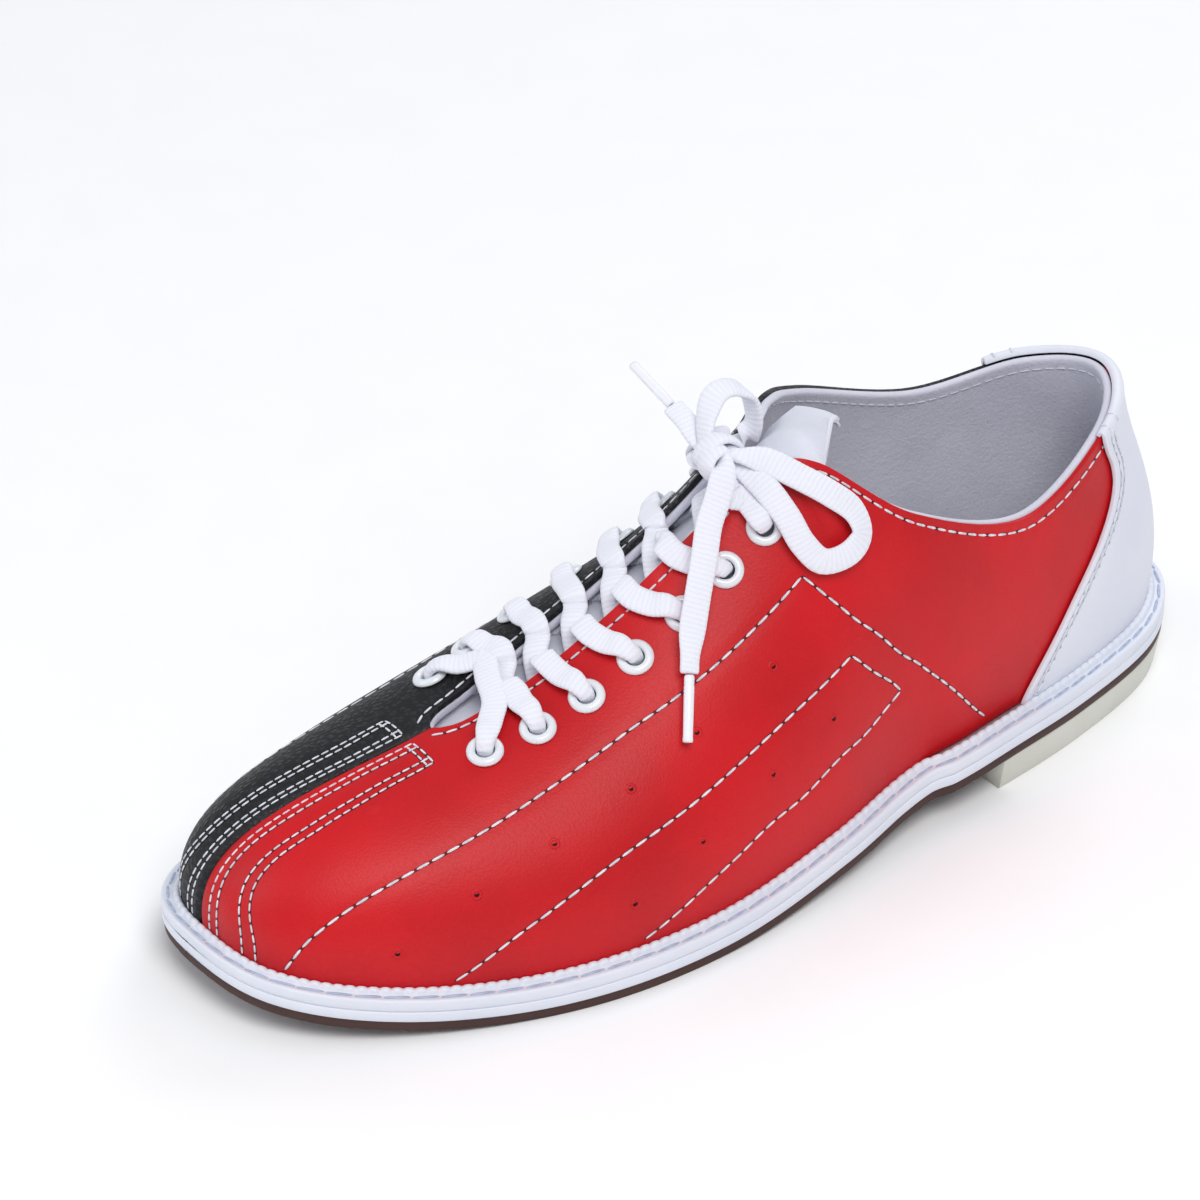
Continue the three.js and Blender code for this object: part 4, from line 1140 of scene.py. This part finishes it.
# %% Vent holes
def vent_holes(name, side, rim_material):
    """Small punched holes: a raised lip of leather round a dark pit of painted shade."""
    rims, pits = bmesh.new(), bmesh.new()
    for s, t in HOLES:
        p = wall(s * side, t, LEATHER)
        up = wall_normal(s * side, t)
        stand = Vector(up).to_track_quat("Z", "Y").to_matrix().to_4x4()
        stand = Matrix.Translation(Vector(metres(p))) @ stand
        part = bmesh.new()
        profile = [(0.62, -0.5), (0.7, 0.05), (0.95, 0.22), (1.3, 0.12), (1.65, -0.12), (1.1, -0.5)]
        verts = [part.verts.new((r / 1000, 0, h / 1000)) for r, h in profile]
        edges = [part.edges.new(pair) for pair in zip(verts, verts[1:] + verts[:1])]
        bmesh.ops.spin(part, geom=verts + edges, cent=(0, 0, 0), axis=(0, 0, 1), angle=2 * math.pi, steps=14,
                       use_merge=True)
        bmesh.ops.transform(part, matrix=stand, verts=part.verts)
        bmesh.ops.recalc_face_normals(part, faces=part.faces)
        add_into(rims, part)
        # the pit is a dark cap of painted shade, standing for the darkness down the hole
        pit = bmesh.new()
        radius, depth = 0.00064, 0.0004
        bmesh.ops.create_cone(pit, cap_ends=True, segments=12, radius1=radius, radius2=radius, depth=depth,
                              matrix=stand @ Matrix.Translation((0, 0, -depth / 2)))
        add_into(pits, pit)
    finish_piece(rims, f"vent_lips_{name}", rim_material)
    finish_piece(pits, f"vent_painted_shade_pits_{name}", painted_shade_black)


vent_holes("outer", 1, red_leather)
vent_holes("inner", -1, black_leather)

# %% [markdown]
# ## The lining
# A soft cloth inside the whole shoe. At the top edge it turns over in a thin roll and is caught between the
# layers, which leaves a pale line beside the leather. One sheet round the shoe follows that path.

# %% Lining
LINING_TOP, ROLL_END = 0.84, 0.93  # shares of the sheet below the roll, and up to its end
ring_u = np.linspace(0, 1, 481)
ring_s = np.concatenate([even_stations(-HEEL, 0, 240, 0.8), even_stations(0, HEEL, 240, 0.8)[1:]])


def lining_place(u, v):
    """Up the inside, over the top edge in a roll, and a little way down."""
    s = np.interp(u, ring_u, ring_s)
    angle = np.clip((v - LINING_TOP) / (ROLL_END - LINING_TOP), 0, 1) * math.pi
    inside = wall(s, np.clip(v / LINING_TOP, 0, 1), 0)
    roll = over_edge(s, 1.1 - 1.1 * np.cos(angle), 0.9 * np.sin(angle))
    down = np.clip((v - ROLL_END) / (1 - ROLL_END), 0, 1)
    outside = wall(s, 1 - down * 0.05, 2.2)
    v = v[:, None]
    return np.where(v < LINING_TOP, inside, np.where(v < ROLL_END, roll, outside))


bm = grid(480, 64, lining_place)
bmesh.ops.remove_doubles(bm, verts=bm.verts, dist=SAME)
bmesh.ops.reverse_faces(bm, faces=bm.faces)
for side in (1, -1):
    open_eyelets(bm, side, 0.0)
lining = finish_piece(bm, "inner_lining", lining_cloth,
                      replaces=["lining_lateral", "lining_medial"])
thicken(lining, 0.7, 0.2)
threads = bmesh.new()
for side in (1, -1):
    stations = np.linspace(1.0, 10.98, 150) * side
    line = np.array([(s, height_at(s, 2.6, 0)) for s in stations])
    points, normals = on_leather(line, -0.05)
    lay_stitches(threads, points, -normals, SEWN_PITCH, wide=0.45, tall=0.3)
finish_piece(threads, "stitches_lining", binding_white)
print("lining faces", len(lining.data.polygons))

# %% [markdown]
# ## The heel cover
# A separate piece of white leather wraps the back of both halves. Its front edge falls in an S from the
# collar to the sole, two rows of stitches follow the edge, and its top rolls over the collar.

# %% Heel cover
COVER_EDGE = np.array([(36, 110), (30, 82), (26.5, 72), (27.5, 65), (35, 54), (48, 40), (60, 27), (66, 18),
                       (69, 5)], float)
COVER_ROLL, COVER_TOP = (1.75, 2.3), 0.9
edge_line = along(COVER_EDGE, np.linspace(0, len(COVER_EDGE) - 1, 200))[::-1]


def cover_front(side, t, ahead=0.0):
    """The station of the cover's front edge at height t, or a distance behind it."""
    s = np.linspace(7.0, HEEL, 161)
    p = wall(s * side, t, COVER)
    past = p[:, 0] - np.interp(p[:, 2], edge_line[:, 1], edge_line[:, 0]) + ahead
    first = int(np.argmax(past < 0))
    a, b = past[first - 1], past[first]
    return s[first - 1] + (s[first] - s[first - 1]) * a / (a - b)


ts = np.linspace(0, 1, 61)
front_of = {side: np.array([cover_front(side, t) for t in ts]) for side in (1, -1)}


def cover_roll(s, angle, proud):
    """The cover's turn over the collar, from its outside at angle 0."""
    across, up = COVER_ROLL
    return over_edge(s, COVER - across + (across + proud) * np.cos(angle), (up + proud) * np.sin(angle))


def cover_place(u, v):
    """Round the heel from front edge to front edge, and over the collar."""
    t = np.clip(v / COVER_TOP, 0, 1)
    side = np.where(u < 0.5, 1, -1)
    front = np.where(side > 0, np.interp(t, ts, front_of[1]), np.interp(t, ts, front_of[-1]))
    share = np.abs(2 * u - 1)
    s = side * (HEEL - (HEEL - front) * share)
    angle = np.clip((v - COVER_TOP) / (1 - COVER_TOP), 0, 1) * math.pi * 0.85
    return np.where((v <= COVER_TOP)[:, None], wall(s, t, COVER), cover_roll(s, angle, 0))


bm = grid(190, 80, cover_place)
cover = finish_piece(bm, "heel_cover_leather", white_leather, replaces=["heel_cover"])
thicken(cover, LEATHER_WALL, 0.4)
threads, painted_shade_lines = bmesh.new(), bmesh.new()
for side in (1, -1):
    for inset in (2.6, 4.4):
        line = np.array([(side * cover_front(side, t, inset), t) for t in np.linspace(0.02, 0.99, 60)])
        points, normals = on_leather(line, COVER)
        lay_stitches(threads, points, normals, SEWN_PITCH, wide=0.6)
        # a line of painted shade under each row of stitches
        lay_painted_shade_line(painted_shade_lines, points, normals, 0.8)
    front = front_of[side][-1]
    for k in (0.08, 0.24):
        angle = np.linspace(0, math.pi * 0.7, 8)
        s = np.full(8, side * (front + k))
        points = cover_roll(s, angle, 0.05)
        lay_stitches(threads, points, unit(points - cover_roll(s, angle, -1.5)), 2.6, wide=0.6)
finish_piece(threads, "stitches_heel_cover", white_thread)
finish_piece(painted_shade_lines, "stitch_painted_shade_heel_cover", painted_shade_white)
print("heel cover faces", len(cover.data.polygons))

# %% [markdown]
# ## The eyelets
# Fourteen painted metal rings, each pressed through the layers. A ring is a turned shape, so its profile is
# spun about its own axis.

# %% Eyelets
ring_profile = [(2.42, -3.3), (2.42, 0.5), (2.55, 1.1), (2.9, 1.42), (3.4, 1.55), (3.95, 1.46), (4.4, 1.15),
                (4.72, 0.7), (4.8, 0.3), (4.65, 0.12), (2.92, 0.1), (2.92, -3.3)]
for side, word, node in ((1, "outer", "lateral"), (-1, "inner", "medial")):
    for i in range(EYELETS):
        centre, normal = eyelet_at(side, i)
        turned(f"eyelet_ring_{word}_{i + 1}", ring_profile, metres(centre), normal, white_enamel,
               [f"eyelet_{node}_{i + 1}"], steps=36)
print("eyelets", 2 * EYELETS)

# %% [markdown]
# ## The sole
# From the upper down: a white welt with a notched bead and a row of long stitches, a white midsole, a thin
# dark outsole and a pale heel block. Each is a closed ring or slab that follows one outline.


# %% Sole helpers
def around(n):
    """Ring places at equal steps round the sole, as stations, and the distance gone."""
    r = np.linspace(0, 2 * HEEL, 2401)
    s = np.where(r <= HEEL, r, r - 2 * HEEL)
    line = outline(s, 7.0, 0)
    gone = gone_along(line)
    at = np.interp(np.linspace(0, gone[-1], n + 1), gone, r)
    return np.where(at <= HEEL, at, at - 2 * HEEL), np.linspace(0, gone[-1], n + 1)


def slab(name, start, end, top, bottom, material, nodes, steps=260, round_mm=0.45):
    """A closed slab across the outline. top and bottom are (offset at s, height or None for the ground)."""
    stations = np.linspace(start, end, 1201)
    line = outline(stations, 5.0, 0)
    gone = gone_along(line)
    stations = np.interp(np.linspace(0, gone[-1], steps + 1), gone, stations)
    r = round_mm
    section = [(w, r * (abs(w) == 1), 0, 0) for w in np.linspace(-1, 1, 9)]
    section += [(1, r * 0.3, 0, r * 0.3), (1, 0, 0, r), (1, 0, 1, -r), (1, r * 0.3, 1, -r * 0.3)]
    section += [(w, r * (abs(w) == 1), 1, 0) for w in np.linspace(1, -1, 9)]
    section += [(-1, r * 0.3, 1, -r * 0.3), (-1, 0, 1, -r), (-1, 0, 0, r), (-1, r * 0.3, 0, r * 0.3)]
    section = np.array(section + section[:1])

    def place(u, v):
        s = np.interp(u, np.linspace(0, 1, steps + 1), stations)
        w, inset, low, drop_ = section[np.rint(v * (len(section) - 1)).astype(int)].T
        corners = []
        for offset, height in (top, bottom):
            edge = offset(s) - inset
            left, right = outline(-s, edge, height or 0), outline(s, edge, height or 0)
            p = mix(left, right, ((w + 1) / 2)[:, None])
            if height is None:
                p[:, 2] = 0
            corners.append(p)
        p = mix(*corners, low[:, None])
        p[:, 2] -= drop_
        return p

    bm = grid(steps, len(section) - 1, place, join=True, cap=True)
    return finish_piece(bm, name, material, replaces=nodes)


# %% Midsole, outsole, heel block and sock
def edge_in(s):
    """The outsole's edge, trimmed a little inside the welt's."""
    return welt_out(s) - 0.4


def sock_edge(s):
    """The sock's edge, a little inside the lining."""
    return 0 * s - 0.6


midsole = slab("midsole_edge", 0.01, HEEL - 0.01, (welt_out, MIDSOLE_TOP + 0.22), (welt_out, MIDSOLE_BOTTOM),
               white_rubber, ["midsole"])
outsole = slab("outsole_sheet", 0.01, HEEL - 0.01, (edge_in, OUTSOLE_TOP + 0.22), (edge_in, -BALL_HEIGHT),
               brown_rubber, ["outsole"], round_mm=0.3)
HEEL_BREAST = 78
scan = np.arange(7, 10, 0.01)
block_start = float(scan[np.argmax(foot(scan)[:, 0] < HEEL_BREAST)])
heel = slab("heel_lift", block_start, HEEL - 0.01, (edge_in, -BALL_HEIGHT - 0.1),
            (lambda s: edge_in(s) - 1.5, None), heel_rubber, ["heel_block"], steps=110,
            round_mm=0.5)
SOCK_TOP = 2.8
sock = slab("sock_cloth", 0.03, HEEL - 0.03, (sock_edge, SOCK_TOP), (sock_edge, 0.05), black_cloth,
            ["sock_liner"], steps=200, round_mm=0.6)
print("slabs", [len(o.data.polygons) for o in (midsole, outsole, heel, sock)])

# %% [markdown]
# ## The welt
# The bead beside the upper is wheeled: a hot toothed wheel leaves a notch every few millimetres. The profile
# is swept round the shoe, and each notch lowers the bead where the wheel's tooth came down.

# %% Welt
NOTCH = 3.0
ring, ring_gone = around(1560)
perimeter = ring_gone[-1]
notch = perimeter / round(perimeter / NOTCH)
# (fixed inside offset or None, offset from the upper, height, how much a notch lowers it)
WELT = [(-6.4, 0, -3.28, 0), (-6.4, 0, -0.35, 0), (None, 0.0, -0.3, 0), (None, -0.1, 0.5, 0),
        (None, 0.15, 1.2, 0.5), (None, 0.75, 1.6, 0.75), (None, 1.4, 1.45, 0.8), (None, 1.85, 0.9, 0.5),
        (None, 2.1, 0.25, 0.1), (None, 2.35, 0.02, 0), (None, 3.0, 0.08, 0), (None, 3.8, 0.08, 0),
        (None, 4.15, 0.2, 0), (None, 4.6, 0.14, 0), (None, 4.92, -0.15, 0), (None, 5.02, -0.6, 0),
        (None, 5.02, -2.7, 0), (None, 4.8, -3.25, 0)]
WELT.append(WELT[0])


def welt_place(u, v):
    """The welt's profile at each place round the sole, notched where a tooth came down."""
    i = np.rint(u * (len(ring) - 1)).astype(int)
    s = ring[i]
    k = np.rint(v * (len(WELT) - 1)).astype(int)
    fixed = np.array([w[0] is not None for w in WELT])[k]
    inside = np.array([w[0] or 0 for w in WELT], float)[k]
    offset, height, dip = (np.array([w[c] for w in WELT], float)[k] for c in (1, 2, 3))
    tooth = (0.5 + 0.5 * np.cos(2 * math.pi * ring_gone[i] / notch)) ** 3
    return outline(s, np.where(fixed, inside, upper_out(s) + offset), height - dip * tooth * 0.75)


bm = grid(len(ring) - 1, len(WELT) - 1, welt_place, join=True)
welt = finish_piece(bm, "welt_strip", white_rubber, replaces=["welt"])
threads = bmesh.new()
line = outline(ring[::4], upper_out(ring[::4]) + 3.25, 0.12)
count = lay_stitches(threads, line, np.tile([0.0, 0, 1], (len(line), 1)), 7.2, 0.95, 0.85, 0.7, 0.1, 0.05)
finish_piece(threads, "welt_lockstitch", blue_thread, replaces=["welt_thread"])
threads = bmesh.new()
sock_s = np.concatenate([np.linspace(0.3, 10.99, 300), np.linspace(-10.99, -0.3, 300)])
line = outline(sock_s, -6.0, SOCK_TOP)
count += lay_stitches(threads, line, np.tile([0.0, 0, 1], (len(line), 1)), SEWN_PITCH, 0.84, 0.6, 0.45, 0.0)
finish_piece(threads, "stitches_sock", white_thread)
print("welt faces", len(welt.data.polygons), "stitches", count)

# %% [markdown]
# ## The tongue
# A white leather flap sewn in under the vamp, with a cloth back. It lies just inside the foot space's roof,
# so that roof is felt from above, as a hand would smooth the leather over the last.

# %% Feeling the roof
heights = np.linspace(0.2, 1, 17)
roof_s = np.arange(0, 7.01, 0.125)
roof_rows = [np.vstack([wall(s, heights, 0), wall(-s, heights[::-1], 0)]) for s in roof_s]
roof_points = [Vector(p) for p in np.vstack(roof_rows)]
wide = 2 * len(heights)
roof_faces = [(i * wide + j, (i + 1) * wide + j, (i + 1) * wide + j + 1, i * wide + j + 1)
              for i in range(len(roof_s) - 1) for j in range(wide - 1)]
roof = BVHTree.FromPolygons(roof_points, roof_faces)
TONGUE_BASE, TONGUE_TOP, OVERHANG, TONGUE_WIDTH = 240, 128, 19, 48
TONGUE_OUT = UNDER - LACE_ROUND / 2 - 0.5


def roof_height(x, y):
    """How high the foot space's roof is over a place."""
    return roof.ray_cast(Vector((x, y, 300)), Vector((0, 0, -1)))[0].z


def tongue_point(x, share, depth):
    """A place on the tongue: x along the shoe, share across it, depth above its face."""
    back_ = TONGUE_TOP - OVERHANG
    tip = min(1, max(0, (x - back_) / (TONGUE_TOP + 6 - back_)))
    half = TONGUE_WIDTH / 2 * (0.62 + 0.38 * float(smooth(TONGUE_BASE - x, 0, 45)))
    half *= math.sqrt(1 - (1 - tip) ** 2 * 0.86)
    y = -1 - 0.03 * (x - TONGUE_TOP) + share * half
    on = max(x, TONGUE_TOP)
    here, ahead = roof_height(on, y), roof_height(on + 2, y)
    left, right = roof_height(on, y + 2), roof_height(on, y - 2)
    slope = (here - ahead) / 2
    normal = unit(np.array([slope, (right - left) / 4, 1.0]))
    seat = -0.5 + (TONGUE_OUT + 0.5) * float(smooth(TONGUE_BASE - x, 3, 15))
    return np.array([x, y, here + slope * 0.9 * (on - x)]) + normal * (seat + depth)


# %% Tongue
tongue_x = np.concatenate([np.linspace(TONGUE_BASE, TONGUE_BASE - 16, 5),
                           np.linspace(TONGUE_BASE - 16, TONGUE_TOP, 10)[1:],
                           np.linspace(TONGUE_TOP, TONGUE_TOP - OVERHANG, 6)[1:]])
tongue_across = np.linspace(-1, 1, 9)


def felt(depth):
    """The tongue's places at one depth. Where the roof ends, each row is ironed into a plain curve."""
    sheet = np.array([[tongue_point(x, y, depth) for y in tongue_across] for x in tongue_x])
    for i in np.flatnonzero(tongue_x < TONGUE_TOP + 1):
        curves = [np.polyfit(tongue_across, column, 2) for column in sheet[i].T]
        sheet[i] = np.stack([np.polyval(curve, tongue_across) for curve in curves], -1)
    return sheet


tongue_face, tongue_high = felt(0), felt(1)


def tongue_place(u, v, depth=0.0):
    """The tongue's sheet, carried smoothly between the felt places."""
    x = mix(TONGUE_BASE, TONGUE_TOP - OVERHANG, u)
    lengthwise = along(np.eye(len(tongue_x)), np.interp(-x, -tongue_x, np.arange(len(tongue_x))))
    crosswise = along(np.eye(len(tongue_across)), v * (len(tongue_across) - 1))
    sheet = tongue_face + depth * (tongue_high - tongue_face)
    return np.einsum("qi,qj,ijk->qk", lengthwise, crosswise, sheet)


bm = grid(72, 28, tongue_place)
tongue = finish_piece(bm, "tongue_leather", white_leather, TONGUE, ["tongue_outer"])
thicken(tongue, 1.4, 0.45)
bm = grid(72, 28, lambda u, v: tongue_place(u, v, -1.6))
tongue_back = finish_piece(bm, "tongue_backing", lining_cloth, TONGUE, ["tongue_lining"])
thicken(tongue_back, 0.8, 0.25)
threads = bmesh.new()
us = np.concatenate([np.linspace(0.45, 0.97, 30), np.full(14, 0.97), np.linspace(0.97, 0.45, 30)])
vs = np.concatenate([np.full(30, 0.07), np.linspace(0.1, 0.9, 14), np.full(30, 0.93)])
line = tongue_place(us, vs, 0.0)
up_way = unit(tongue_place(us, vs, 1.0) - line)
lay_stitches(threads, line, up_way, SEWN_PITCH, wide=0.6)
finish_piece(threads, "stitches_tongue", white_thread, TONGUE)
print("tongue faces", len(tongue.data.polygons))

# %% [markdown]
# ## The knot
# The bow's two halves are held by one turn of the braid. It is a short open helix round the four strands, its
# ends tucked inside.

# %% Knot
knot_route = []
across_axis = np.array([0, 1, KNOT_TILT]) / math.hypot(1, KNOT_TILT)
side_axis = np.array([1.0, 0, 0])
up_axis = np.cross(side_axis, across_axis)
for k in np.linspace(0, 1, 22):
    angle = mix(-1.2, 2 * math.pi * 1.25, k)
    radius = 4.9 - 2.6 * max(0, 0.12 - k) / 0.12 - 2.6 * max(0, k - 0.88) / 0.12 + 0.9 * k
    radial = side_axis * math.cos(angle) + up_axis * math.sin(angle)
    spot = KNOT + radial * radius + across_axis * mix(-2.0, 2.0, k)
    knot_route.append(row(spot, radial, 6.4))
braid("bow_knot", np.array(knot_route), ["lace_knot"])

# %% [markdown]
# ## Parts that stay as packed
# The pieces hidden inside keep their CAD shape and get their real stuffs: fibre board, cork, spring steel.

# %% Hidden parts
STAYS = {"insole_board": fibre_board, "bottom_filler": cork_filler, "shank": shank_steel,
         "heel_stiffener": fibre_board, "toe_puff": fibre_board, "facing_backing_lateral": lining_cloth,
         "facing_backing_medial": lining_cloth, "toe_seam_underlay": white_leather}
for name, material in STAYS.items():
    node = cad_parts[name]
    node.data.materials.clear()
    node.data.materials.append(material)
print("nodes kept", len(STAYS))
